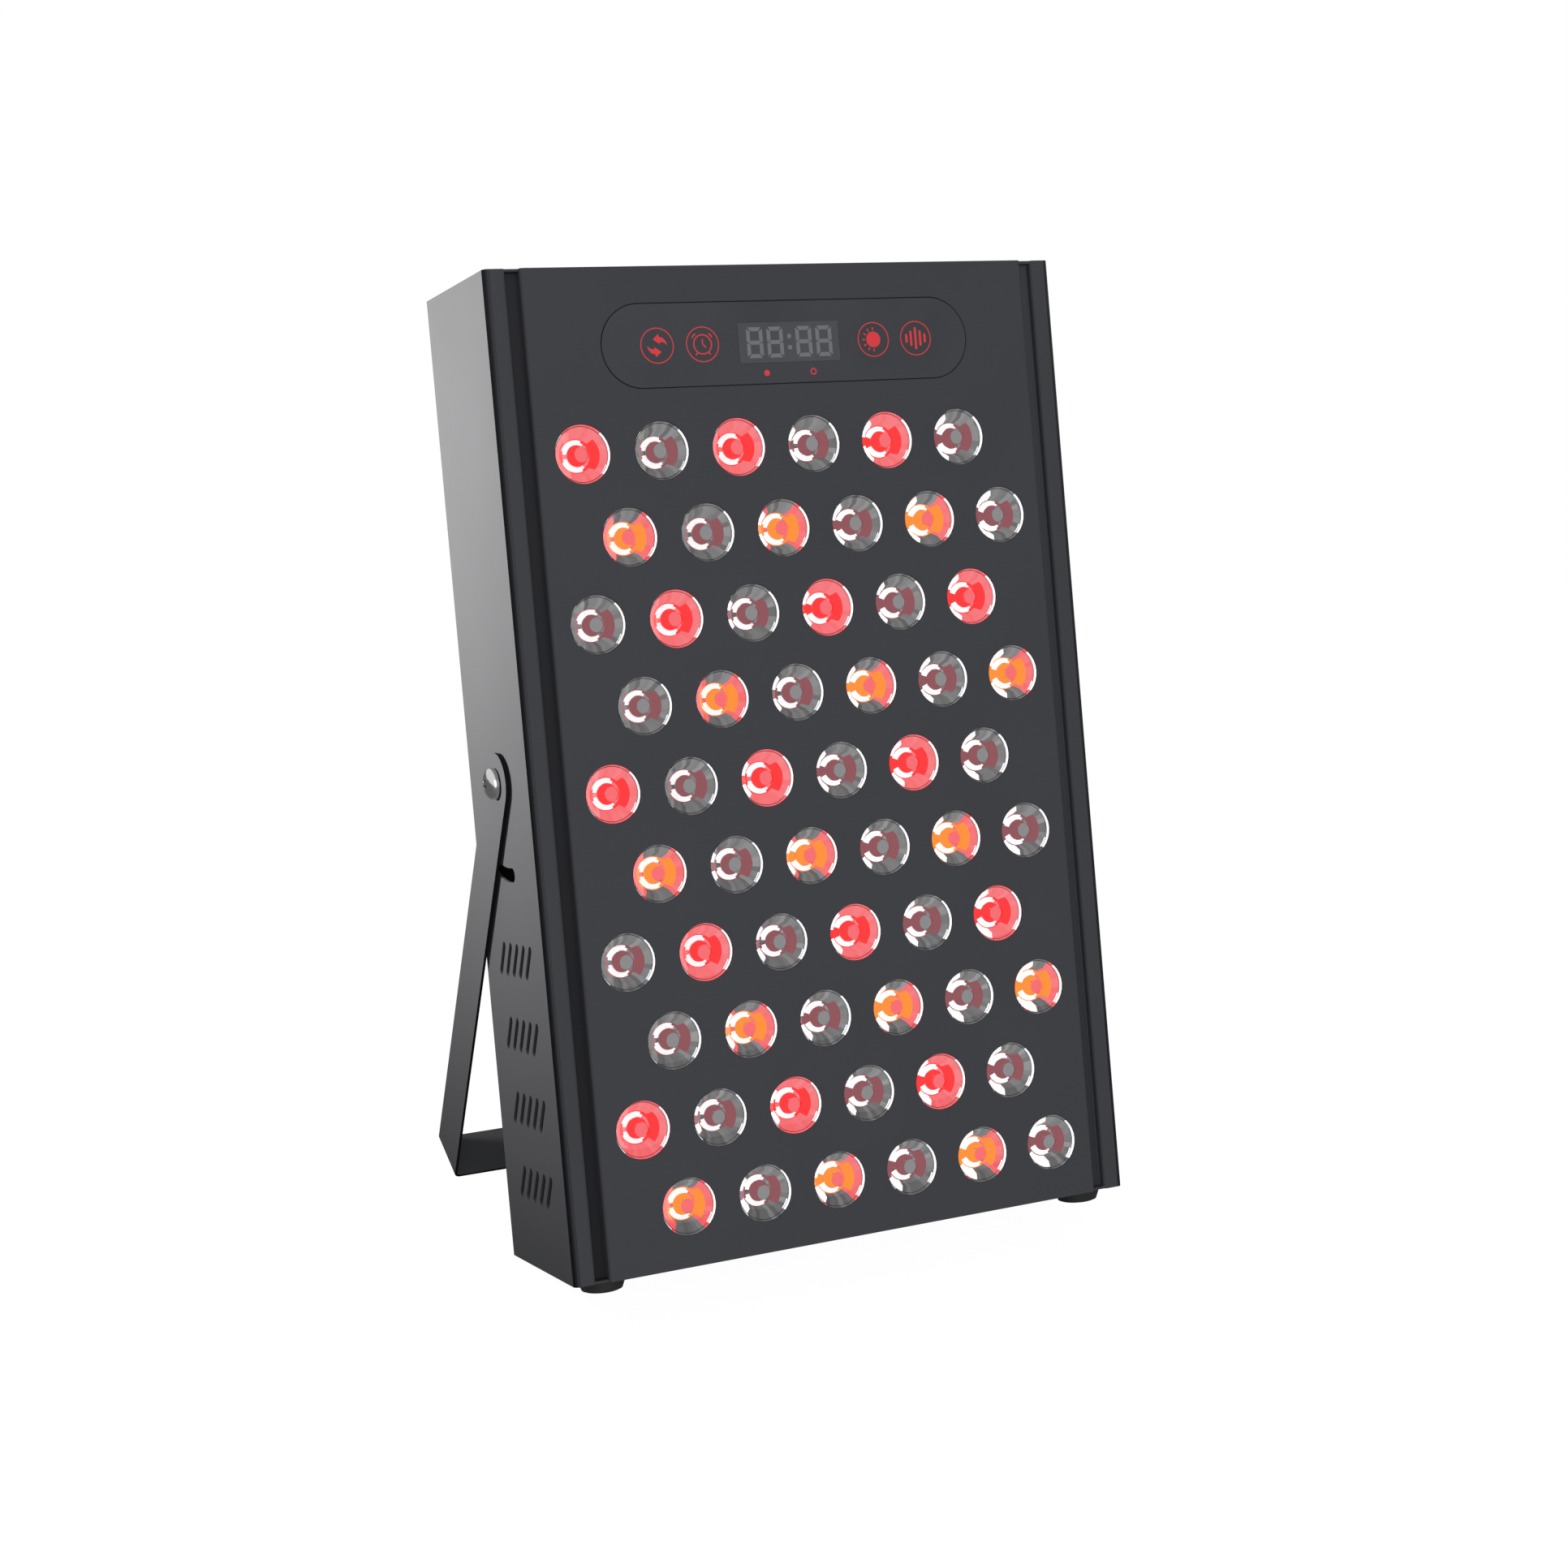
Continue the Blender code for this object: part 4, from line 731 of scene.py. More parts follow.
def combine(item, other, operation):
    """A Boolean with another piece, which is used up."""
    apply_modifier(item, "BOOLEAN", operation=operation, solver="EXACT", object=other)
    bpy.data.objects.remove(other)
    return item


def joined(name, items):
    deselect()
    for item in items:
        item.select_set(True)
    bpy.context.view_layer.objects.active = items[0]
    if len(items) > 1:
        bpy.ops.object.join()
    return named(name)


def copied(source, name, matrix):
    """A copy with its own mesh, moved by a matrix."""
    item = source.copy()
    item.data = source.data.copy()
    bpy.context.scene.collection.objects.link(item)
    item.name = name
    item.data.name = name
    return move_mesh(item, matrix)


def soften(item, test, offset):
    """A narrow chamfer along the edges that pass a test."""
    with editing(item, "EDGE"):
        select_edges(item, test)
        bpy.ops.mesh.bevel(offset=offset, segments=1, affect="EDGES", clamp_overlap=True)
    return item


def sharp_at_back(depth):
    """A test for the sharp edges of a piece's rear face."""
    return lambda a, b, bend: bend > SHARP_BEND and min(a.y, b.y) > depth - MERGE


def on_plate_front(a, b):
    return abs(a.y + SHEET) < MERGE and abs(b.y + SHEET) < MERGE


def recalculated(item):
    with editing(item):
        bpy.ops.mesh.select_all(action="SELECT")
        bpy.ops.mesh.remove_doubles(threshold=MERGE)
        bpy.ops.mesh.normals_make_consistent(inside=False)
    return item


def settle(item, material, body, nodes=(), place=PANEL, smooth=30, weighted=True):
    """Finishes a piece: its place, shading and material, the body it rides on, and hides the imported pieces
    it stands in for.
    """
    if place is not None:
        move_mesh(item, place)
    if material is not None:
        item.data.materials.clear()
        item.data.materials.append(material)
    make_active(item)
    bpy.ops.object.shade_smooth_by_angle(angle=radians(smooth))
    if weighted:
        apply_modifier(item, "WEIGHTED_NORMAL", keep_sharp=True, weight=50)
    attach(item, body)
    if nodes:
        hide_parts(*nodes)
    return item


# Places that several pieces share


def lens_places():
    """Each row from the top down: its number, its height and the X of its lenses."""
    rows = []
    for row in range(LENS_ROWS):
        height = BOTTOM_ROW + (LENS_ROWS - 1 - row) * LENS_PITCH
        shift = (-LENS_PITCH if row % 2 == 0 else LENS_PITCH) / 4
        first = shift - (LENS_COLUMNS - 1) / 2 * LENS_PITCH
        rows.append((row, height, [first + column * LENS_PITCH for column in range(LENS_COLUMNS)]))
    return rows


def led_state(row, column):
    """Lit LEDs alternate with dark ones in red rows and orange rows, shifted every two rows."""
    if (column + row // 2) % 2:
        return "unlit"
    return "orange" if row % 2 else "red"


def foot_places():
    """Each foot's name and its place in X and Y."""
    return [
        (f"{end}_{side}", (sign * FOOT_SIDE, depth))
        for side, sign in SIDES.items()
        for end, depth in FOOT_DEPTHS.items()
    ]


def cover_screw_places():
    return [(sign * COVER_SCREW_SIDE, height) for sign in (-1, 1) for height in COVER_SCREW_HEIGHTS]


def fan_screw_places(height):
    return [(x, height + z) for x in (-FAN_SCREW, FAN_SCREW) for z in (-FAN_SCREW, FAN_SCREW)]


# Pieces


def side_openings():
    """Cutters through both side walls: the pivot hole, the arc slot and four groups of leaning vents."""
    pivot = (PIVOT_DEPTH, PIVOT_HEIGHT)
    slot_width = 0.0048
    slot_start = -pi / 2 - radians(5)
    slot_end = -pi / 2 + radians(45)
    outlines = [
        circle(pivot, PIVOT_HOLE, 24),
        curved_slot(pivot, GUIDE_RADIUS, slot_width, slot_start, slot_end, 20, round_ends=True),
    ]
    vent_length = 0.01343
    vent_width = 0.0027
    vent_lean = radians(122)
    middle_vent = 0.03185
    vent_step = 0.0068
    lowest_group = 0.0288
    group_step = 0.0258
    for group in range(4):
        for vent in range(5):
            at = (middle_vent + (vent - 2) * vent_step, lowest_group + group * group_step)
            outlines.append(oval(at, vent_length, vent_width, vent_lean, 8))
    past_walls = 0.11
    cutters = [side_slab("opening", points, -past_walls, past_walls) for points in outlines]
    return joined("side_openings", cutters)


def on_side_opening(a, b, bend):
    """Whether an edge is a cut edge of the openings in the side walls' outer faces."""
    on_wall = abs(abs(a.x) - HALF_WIDTH) < MERGE and abs(abs(b.x) - HALF_WIDTH) < MERGE
    in_height = 0.015 < min(a.z, b.z) and max(a.z, b.z) < 0.2
    in_depth = 0.006 < min(a.y, b.y) and max(a.y, b.y) < 0.058
    return bend > SHARP_BEND and on_wall and in_height and in_depth


def make_housing(looks):
    """Two folded side walls with their front strips and grooves, two end walls, and tabs for the cover."""
    s = sizes()
    corner = s.corner_bend
    fold = s.sheet_bend
    path = [
        (HALF_WIDTH, BODY_DEPTH),
        (HALF_WIDTH, 0),
        (GROOVE_EDGE, 0),
        (GROOVE_EDGE, GROOVE_DEPTH),
        (LEDGE_EDGE, GROOVE_DEPTH),
    ]
    section = sheet_section(path, (corner, fold + SHEET, fold), 8)
    right = slab("housing", section, 0, BODY_HEIGHT)
    left = slab("housing_left", [(-x, y) for x, y in reversed(section)], 0, BODY_HEIGHT)
    inset = 0.00005
    end_side = HALF_WIDTH - SHEET / 2
    end_corner = corner - SHEET / 2
    back = BODY_DEPTH - inset
    half = arc((end_side - end_corner, SHEET / 2 + end_corner), end_corner, -pi / 2, 0, 8)
    end_wall = [*half, (end_side, back), (-end_side, back), *[(-x, y) for x, y in reversed(half)]]
    top = slab("top_wall", end_wall, BODY_HEIGHT - inset - SHEET, BODY_HEIGHT - inset)
    bottom = slab("bottom_wall", end_wall, inset, inset + SHEET)
    for _, place in foot_places():
        combine(bottom, slab("foot_hole", circle(place, SCREW_HOLE, 16), -0.001, 0.003), "DIFFERENCE")
    tabs = []
    for place in cover_screw_places():
        tab = front_slab("tab", rectangle(place, 0.011, 0.012), 0.0609, 0.0624)
        tap = front_slab("tap", circle(place, SCREW_HOLE, 16), 0.06, 0.063)
        tabs.append(combine(tab, tap, "DIFFERENCE"))
    housing = combine(right, joined("walls", [top, bottom, joined("tabs", tabs)]), "UNION")
    combine(housing, left, "UNION")
    combine(housing, side_openings(), "DIFFERENCE")
    recalculated(housing)
    soften(housing, on_side_opening, s.soft_edge)
    settle(housing, looks["housing_coat"], "panel", ["housing"])


def on_plate_opening(a, b, bend):
    """Whether an edge is a cut edge of the holes in the plate's front, away from its folds and ends."""
    in_width = max(abs(a.x), abs(b.x)) < PLATE_HALF - 0.002
    in_height = 0.003 < min(a.z, b.z) and max(a.z, b.z) < BODY_HEIGHT - 0.003
    return bend > SHARP_BEND and on_plate_front(a, b) and in_width and in_height


def make_front_plate(looks):
    """The plate with its two folded sides, the lens holes and the overlay's opening."""
    s = sizes()
    back = GROOVE_DEPTH - SEAT
    path = [(PLATE_HALF, back), (PLATE_HALF, -SHEET), (-PLATE_HALF, -SHEET), (-PLATE_HALF, back)]
    bend = s.sheet_bend + SHEET
    plate = slab("front_plate", sheet_section(path, (bend, bend)), 0, BODY_HEIGHT)
    corners = [(x, z) for x in (-PLATE_HALF, PLATE_HALF) for z in (0, BODY_HEIGHT)]
    outlines = [rectangle(at, 0.006, 0.0027) for at in corners]
    reliefs = [front_slab("relief", points, SHEET / 2 - SEAT, 0.005) for points in outlines]
    combine(plate, joined("reliefs", reliefs), "DIFFERENCE")
    outlines = [circle((x, height), LENS_HOLE, 64) for _, height, places in lens_places() for x in places]
    outlines.append(oval(OVERLAY, *OVERLAY_SIZE, steps=32))
    openings = [front_slab("opening", points, -0.003, 0.001) for points in outlines]
    combine(plate, joined("openings", openings), "DIFFERENCE")
    recalculated(plate)
    soften(plate, on_plate_opening, s.soft_edge)
    settle(plate, looks["plate_coat"], "panel", ["front_plate"])


def lens_profile():
    """Radius and depth of a lens: clear face round a dimple, bezel, shallow wall, tube and pocket."""
    s = sizes()
    face = s.lens_recess - SHEET
    tube = s.lens_tube
    pocket = s.led_radius + 0.0002
    pocket_end = LED_TOP - 0.0002
    return [
        (0, face + DIMPLE_DEPTH),
        (DIMPLE_RADIUS - 0.0001, face + DIMPLE_DEPTH),
        (DIMPLE_RADIUS, face),
        (s.lens_face, face),
        (s.lens_face + 0.0002, face + 0.00005),
        (LENS_HOLE - 0.00006, face - 0.0009),
        (LENS_HOLE - 0.00003, face - 0.0008),
        (LENS_HOLE - 0.00003, 0.002),
        (s.lens_face, 0.0022),
        (tube + 0.0015, 0.0036),
        (tube, LENS_BASE),
        (tube - 0.0003, LENS_BASE),
        (tube - 0.0009, LENS_BASE),
        (pocket, LENS_BASE),
        (pocket, LED_TOP - 0.0001),
        (s.led_radius + 0.0001, pocket_end),
        (0.00145, pocket_end),
        (0.0012, pocket_end),
        (0, pocket_end),
    ]


def facet_light(state, angle, number):
    """The painted light of a facet of the wall: a grade round the lens, brightest towards its upper right,
    broken from facet to facet; a painted grey glow for an unlit LED, and painted grey patches at the top and
    bottom of an orange lens.
    """
    uneven = 1 + 0.45 * sin(number * 2.4) * sin(number * 0.9 + 1)
    grade = uneven * (0.9 + 0.35 * cos(angle - 0.5))
    # painted reflection: grey patches at the top and bottom of an orange lens
    dark = abs(abs(degrees(angle)) - 90) < 38
    if state == "unlit" or (state == "orange" and dark):
        return scaled(colours().haze, grade)
    red, green, blue = colours().glow
    share = 0.6 + 0.45 * grade if state == "red" else 0.5 + 0.4 * grade
    return (red, green * share, blue * share)


def in_dimple(middle):
    return hypot(middle.x, middle.z) < DIMPLE_RADIUS - 0.0001 and middle.y < 0.003


def lens_face_kind(middle, painted_reflection_spread):
    """Which of the lens's four finishes a face has, by its place in the lens before it's moved.

    A turn is in degrees from the lens's right, over its top or bottom, to 180 on its left. The bright and
    LED finishes here are painted highlights and painted reflections of the LED, placed by angle; the further
    right and lower a lens sits, the more of them its wall shows on the left.
    """
    s = sizes()
    if in_dimple(middle):
        return WALL
    depth = middle.y
    radius = hypot(middle.x, middle.z)
    turn = abs(degrees(atan2(middle.z, middle.x)))
    sideways = min(turn, 180 - turn)
    base = LENS_BASE - MERGE
    outside_tube = radius > s.lens_tube
    wide = painted_reflection_spread > 0.3
    bright_from = 150 - 58 * painted_reflection_spread
    led_from = 166 - 6 * painted_reflection_spread
    # painted highlights and painted reflections of the LED, placed by angle and by where the lens sits
    if painted_reflection_spread > 0.1 and outside_tube and LENS_RIM_BACK < depth < base and turn > bright_from:
        return PAINTED_HIGHLIGHT if turn < led_from else LED
    if depth > base:
        if radius > s.lens_tube - 0.0003:
            return LED
        outer = radius > s.lens_tube - 0.0009
        ring_start = 64 if outer else 52
        ring_end = 152 if outer or wide else 166
        if ring_start < turn < ring_end:
            return PAINTED_HIGHLIGHT
        return LED if outer or (wide and turn > 90) else WALL
    # the tube wall in the LED's colour on its sides: a painted reflection of the LED
    if depth > LENS_TUBE_FRONT and outside_tube:
        return LED if sideways < 48 else WALL
    # the bezel's sides: painted highlight
    if radius > s.lens_face + 0.0002 and depth < LENS_RIM_BACK:
        return PAINTED_HIGHLIGHT if sideways < 42 else WALL
    # the pocket's top in the LED's colour, with a painted highlight arc round its middle
    if radius < s.led_radius and depth > LED_TOP - 0.0003:
        return WALL if 0.0012 < radius < 0.0014 and turn < 100 else LED
    behind_face = depth > s.lens_recess - SHEET + MERGE
    return WALL if radius > s.lens_tube + 0.001 and behind_face else CLEAR


def finished_lens(master, state, at, number, looks):
    """A copy of the lens with its finishes and the painted light of its facets."""
    s = sizes()
    c = colours()
    lens = copied(master, "lens", Matrix())
    for finish in ("lens_plastic", "lens_wall", "led_reflector", f"led_{state}"):
        lens.data.materials.append(looks[finish])
    layer = lens.data.color_attributes.new("glow", "FLOAT_COLOR", "CORNER")
    # painted reflections: the further right and lower a lens sits, the more painted highlight and LED light
    # its wall shows on the left
    side = at.translation.x / HALF_WIDTH
    drop = 1 - at.translation.z / BODY_HEIGHT
    painted_reflection_spread = min(1.0, 0.15 + 0.75 * side + 0.35 * drop)
    # the dimple glows: with the LED's light when lit, with a painted grey glow when off
    dimple_painted_light = scaled(c.haze, 1.5) if state == "unlit" else c.glow
    for face in lens.data.polygons:
        middle = face.center
        face.material_index = lens_face_kind(middle, painted_reflection_spread)
        angle = atan2(middle.z, middle.x)
        facet = round(angle / (2 * pi) * s.lens_sides) + number * 5
        light = facet_light(state, angle, facet)
        # painted shade: a black ring where the clear face meets the bezel
        if s.lens_face < hypot(middle.x, middle.z) < s.lens_face + 0.0002:
            light = (0, 0, 0)
        if in_dimple(middle):
            light = dimple_painted_light
        for corner in face.loop_indices:
            layer.data[corner].color = (*light, 1)
    return move_mesh(lens, at)


def make_lenses(looks):
    """Sixty lenses in ten rows, with the LED domes under them."""
    s = sizes()
    master = turned("lens", lens_profile(), s.lens_sides)
    radius = s.led_radius
    profile = [
        (0, LED_TOP),
        (0.0012, LED_TOP),
        (0.0013, LED_TOP + 0.0001),
        (0.0013, LED_TOP + 0.0009),
        (radius - 0.0002, LED_TOP + 0.001),
        (radius, LED_TOP + 0.0012),
        (radius, BOARD_FRONT),
        (0, BOARD_FRONT),
    ]
    dome = turned("dome", profile, 32)
    for item in (master, dome):
        move_mesh(item, FACING_BACK)
    for row, height, places in lens_places():
        boards = ["led_board_upper" if row < LENS_ROWS / 2 else "led_board_lower"]
        number = f"{row + 1:02d}"
        lenses = []
        domes = {}
        for column, x in enumerate(places):
            state = led_state(row, column)
            at = Matrix.Translation((x, 0, height))
            lenses.append(finished_lens(master, state, at, row * LENS_COLUMNS + column, looks))
            domes.setdefault(state, []).append(copied(dome, "dome", at))
        lens_row = joined(f"lens_row_{number}", lenses)
        settle(lens_row, None, "panel", boards, smooth=24, weighted=False)
        for state, group in domes.items():
            led_row = joined(f"led_row_{number}_{state}", group)
            settle(led_row, looks[f"led_{state}"], "panel", boards)
    for item in (master, dome):
        bpy.data.objects.remove(item)


def make_led_boards(looks):
    """The two boards that carry the LEDs and their lenses."""
    for which, low, high in (("upper", 0.14683, 0.28583), ("lower", 0.00683, 0.14583)):
        outline = rectangle((0, (low + high) / 2), 0.178, high - low, 0.002)
        board = front_slab(f"board_{which}", outline, BOARD_FRONT, BOARD_BACK)
        with editing(board, "EDGE"):
            select_edges(board, lambda a, b, bend: bend > SHARP_BEND)
            bpy.ops.mesh.bevel(offset=0.0001, segments=1, affect="EDGES")
        settle(board, looks["led_board_mask"], "panel", [f"led_board_{which}"])


def display_outlines():
    """Four seven-segment digits, mitred where their segments meet, and the two dots between them."""
    side = 0.003
    top = 0.0052
    stroke = 0.00135
    cut = 0.00045
    gap = 0.0001
    inner = side - stroke
    point = side - stroke / 2
    cap = [(side - cut - gap, top), (inner - gap, top - stroke)]
    middle = [(point - gap, 0), (inner - gap, stroke / 2)]
    post = [(side, top - cut - gap), (side, cut), (side - cut, gap)]
    post += [(point, gap), (inner, stroke / 2 + gap), (inner, top - stroke - gap)]
    cap += [(-x, z) for x, z in reversed(cap)]
    middle += [(-x, z) for x, z in reversed(middle)]
    middle += [(-x, -z) for x, z in middle[1:3]]
    digit = [cap, [(x, -z) for x, z in cap], middle]
    digit += [[(sign_x * x, sign_z * z) for x, z in post] for sign_x in (-1, 1) for sign_z in (-1, 1)]
    outlines = [
        [(x + centre, z) for x, z in segment]
        for centre in (-0.0128, -0.00525, 0.0055, 0.01305)
        for segment in digit
    ]
    outlines += [rectangle((0.0001, level), 0.0014, 0.0014) for level in (-0.0019, 0.0019)]
    return [[(x + OVERLAY[0], z + OVERLAY[1]) for x, z in points] for points in outlines]


def arrow_outlines(centre):
    """Two bold curved arrows that chase each other, drawn in millimetres."""
    x, z = centre
    arrow = [(-1.4, 2.1), (0.6, 3.8), (0.85, 2.95), (2.2, 2.5), (3.2, 1.4), (3.6, 0.0)]
    arrow += [(2.75, 0.8), (1.8, 1.15), (0.9, 1.05), (1.15, 0.35)]
    return [[(x + sign * right * 0.001, z + sign * up * 0.001) for right, up in arrow] for sign in (1, -1)]


def clock_outlines(centre, line):
    """An alarm clock: its face, two hands, two bells and two legs."""
    x, z = centre
    outlines = ring_outlines(centre, 0.0032, line)
    outlines.append(bar((x, z - line / 2), (x, z + 0.0017), line))
    outlines.append(bar((x, z), (x + 0.0012, z - 0.0011), line))
    for sign in (-1, 1):
        start = 0 if sign > 0 else pi / 2
        bell = (x + sign * 0.0023, z + 0.0022)
        outlines.append(curved_slot(bell, 0.0012, line, start, start + pi / 2, 6))
        outlines.append(bar((x + sign * 0.0019, z - 0.0027), (x + sign * 0.0027, z - 0.0035), line))
    return outlines


def sun_outlines(centre, line):
    """A sun whose rays stand on its left."""
    x, z = centre
    outlines = [circle(centre, 0.0027, 32)]
    for step in range(7):
        turn = radians(90 + step * 30)
        ends = [(x + r * cos(turn), z + r * sin(turn)) for r in (0.0031, 0.0042)]
        outlines.append(bar(*ends, line))
    return outlines


def pulse_outlines(centre, line):
    """Five upright bars of different length."""
    x, z = centre
    reaches = (0.00155, 0.0027, 0.0039, 0.0027, 0.0016)
    places = [x + (step - 2) * 0.00178 for step in range(5)]
    return [oval((at, z), 2 * reach, line * 2, pi / 2, 4) for at, reach in zip(places, reaches)]


def thin_prints(name, outlines, front, height):
    """Printed shapes as thin raised films, in one piece."""
    return joined(name, [front_slab(name, points, front - height, front + height) for points in outlines])


def print_mark(looks, name, outlines):
    """A mark printed on the overlay."""
    settle(thin_prints(name, outlines, -SHEET, PRINT_FILM), looks["touch_mark"], "panel")


def make_controls(looks):
    """The oval overlay, its window and display, and the touch marks printed on it."""
    width, height = OVERLAY_SIZE
    face = oval(OVERLAY, width - 2 * SEAT, height - 2 * SEAT, steps=32)
    overlay = front_slab("overlay", face, -SHEET, 0.0009)
    flange = oval(OVERLAY, width + 0.006, height + 0.006, steps=32)
    combine(overlay, front_slab("overlay_flange", flange, SEAT, 0.0015), "UNION")
    opening = front_slab("overlay_opening", rectangle(OVERLAY, *WINDOW_SIZE, 0.0004, 3), -0.003, 0.003)
    combine(overlay, opening, "DIFFERENCE")
    recalculated(overlay)
    soften(overlay, lambda a, b, bend: bend > SHARP_BEND and on_plate_front(a, b), 0.00006)
    settle(overlay, looks["overlay_film"], "panel", ["control_overlay"])
    pane = rectangle(OVERLAY, WINDOW_SIZE[0] - 0.0001, WINDOW_SIZE[1] - 0.0001, 0.0003, 3)
    window = front_slab("window", pane, -SHEET, 0.0015)
    settle(window, looks["window_plastic"], "panel", ["display_window"])
    digits = thin_prints("display_digits", display_outlines(), -SHEET, PRINT_FILM)
    settle(digits, looks["display_segment"], "panel")
    line = sizes().mark_line
    level = OVERLAY[1] - 0.00005
    swap, timer, bright, pulse = ((x, level) for x in (-0.0476, -0.0312, 0.0327, 0.0491))
    marks = {
        "mark_swap": (swap, arrow_outlines(swap)),
        "mark_timer": (timer, clock_outlines(timer, line)),
        "mark_bright": (bright, sun_outlines(bright, line)),
        "mark_pulse": (pulse, pulse_outlines(pulse, line)),
    }
    for name, (centre, outlines) in marks.items():
        print_mark(looks, name, outlines + ring_outlines(centre, 0.0058, line * 0.8))
    dot_level = 0.2967
    print_mark(looks, "mark_solid_dot", [circle((-0.00845, dot_level), 0.00105, 20)])
    print_mark(looks, "mark_open_dot", ring_outlines((0.00894, dot_level), 0.00095, line))


def grille_outlines(height):
    """Four rings of curved slots with round ends, four slots to a ring."""
    hub = 0.0107
    slot = 0.0042
    ring_step = 0.0066
    half_spoke = 0.0012
    outlines = []
    for ring in range(4):
        radius = hub + slot / 2 + ring * ring_step
        trim = asin((half_spoke + slot / 2) / radius)
        steps = 8 + 3 * ring
        for quarter in range(4):
            start = pi / 4 + quarter * pi / 2 + trim
            end = pi / 4 + (quarter + 1) * pi / 2 - trim
            outlines.append(curved_slot((0, height), radius, slot, start, end, steps, round_ends=True))
    return outlines


def make_rear_cover(looks):
    """The cover with its two grilles, its screw holes, and the openings of the inlet and the switch."""
    width = 2 * (HALF_WIDTH - SHEET - SEAT)
    height = BODY_HEIGHT - 2 * (SHEET + SEAT)
    front = BODY_DEPTH - SHEET
    cover = front_slab("cover", rectangle((0, PIVOT_HEIGHT), width, height, 0.0005, 3), front, BODY_DEPTH)
    inlet_opening = rectangle(INLET, 0.0276, 0.0204, 0.0008, 3)
    switch_opening = rectangle(SWITCH, 0.0136, 0.0198, 0.0006, 3)
    outlines = [inlet_opening, switch_opening]
    outlines += [circle(at, SCREW_HOLE, 20) for at in cover_screw_places()]
    for fan_height in FAN_HEIGHTS.values():
        outlines += grille_outlines(fan_height)
        outlines += [circle(at, SCREW_HOLE, 20) for at in fan_screw_places(fan_height)]
    past = 0.002
    openings = [front_slab("opening", points, front - past, BODY_DEPTH + past) for points in outlines]
    combine(cover, joined("openings", openings), "DIFFERENCE")
    recalculated(cover)
    with editing(cover):
        bpy.ops.mesh.select_all(action="SELECT")
        bpy.ops.mesh.quads_convert_to_tris(quad_method="BEAUTY", ngon_method="CLIP")
    soften(cover, sharp_at_back(BODY_DEPTH), sizes().soft_edge)
    settle(cover, looks["housing_coat"], "panel", ["rear_cover"])


def make_fan_frame(name, height):
    """A square frame with a round duct, screw holes, a waist on each side and a hub on four arms."""
    frame_size = 0.08
    past = 0.002
    flange = 0.004
    frame_outline = rectangle((0, height), frame_size, frame_size, 0.004)
    shell = front_slab(name, frame_outline, FAN_FRONT, FAN_BACK)
    holes = [circle((0, height), 0.038, 64)]
    holes += [circle(at, SCREW_HOLE, 16) for at in fan_screw_places(height)]
    cutters = [front_slab("hole", points, FAN_FRONT - past, FAN_BACK + past) for points in holes]
    side = 0.0405
    for sign_x, sign_z in ((1, 0), (-1, 0), (0, 1), (0, -1)):
        span = (0.0034, 0.05) if sign_x else (0.05, 0.0034)
        waist = rectangle((sign_x * side, height + sign_z * side), *span, 0.0015, 3)
        cutters.append(front_slab("waist", waist, FAN_FRONT + flange, FAN_BACK - flange))
    combine(shell, joined("cutters", cutters), "DIFFERENCE")
    arms = []
    for arm in range(4):
        turn = pi / 4 + arm * pi / 2
        ends = [(r * cos(turn), height + r * sin(turn)) for r in (0.010, side)]
        arms.append(front_slab("arm", bar(*ends, 0.004), FAN_FRONT + 0.0004, FAN_FRONT + 0.0036))
    length = FAN_HUB_LENGTH
    hub = turned("hub", [(0, 0), (0.0138, 0), (0.0145, 0.0006), (0.0145, length), (0, length)], 48)
    move_mesh(hub, Matrix.Translation((0, FAN_FRONT + SEAT, height)) @ FACING_BACK)
    for piece in [*arms, hub]:
        combine(shell, piece, "UNION")
    return recalculated(shell)


def make_fans(looks):
    """Two fans, each a frame and the rotor that turns in it."""
    plastic = looks["black_plastic"]
    for which, height in FAN_HEIGHTS.items():
        shell = make_fan_frame(f"fan_{which}", height)
        settle(shell, plastic, "panel", [f"fan_frame_{which}"])
        rotor = make_rotor(f"rotor_{which}", height)
        settle(rotor, plastic, f"{which}_rotor", [f"fan_rotor_{which}"])


def make_rotor(name, height):
    """A cup-shaped hub with seven swept and pitched blades."""
    front = FAN_FRONT + FAN_HUB_LENGTH + 2 * SEAT
    rear = FAN_BACK - 0.001
    depth = rear - front
    profile = [
        (0, 0),
        (0.0145, 0),
        (0.0145, depth - 0.0015),
        (0.014, depth - 0.0005),
        (0.0128, depth),
        (0.0105, depth),
        (0.0102, depth - 0.0003),
        (0, depth - 0.0003),
    ]
    hub = turned(name, profile, 56)
    blades = 7
    root = 0.0138
    tip = 0.0368
    lead = 2 * pi / blades * 0.78
    sweep = radians(14)
    rise = depth - 0.004
    trim = 0.12
    deselect()
    bpy.ops.mesh.primitive_grid_add(x_subdivisions=5, y_subdivisions=6, size=1)
    blade = named("blade")
    for vertex in blade.data.vertices:
        reach = vertex.co.x + 0.5
        share = vertex.co.y + 0.5
        radius = root + (tip - root) * reach
        turn = sweep * reach**2 + lead * share
        level = 0.002 + rise * (0.5 - cos(pi * (trim + (1 - 2 * trim) * share)) / (2 * cos(pi * trim)))
        vertex.co = (radius * cos(turn), radius * sin(turn), level)
    apply_modifier(blade, "SOLIDIFY", thickness=0.0011, offset=0)
    recalculated(blade)
    for number in range(blades):
        turn = Matrix.Rotation(number * 2 * pi / blades, 4, "Z")
        combine(hub, copied(blade, "blade", turn), "UNION")
    bpy.data.objects.remove(blade)
    recalculated(hub)
    return move_mesh(hub, Matrix.Translation((0, front, height)) @ FACING_BACK)


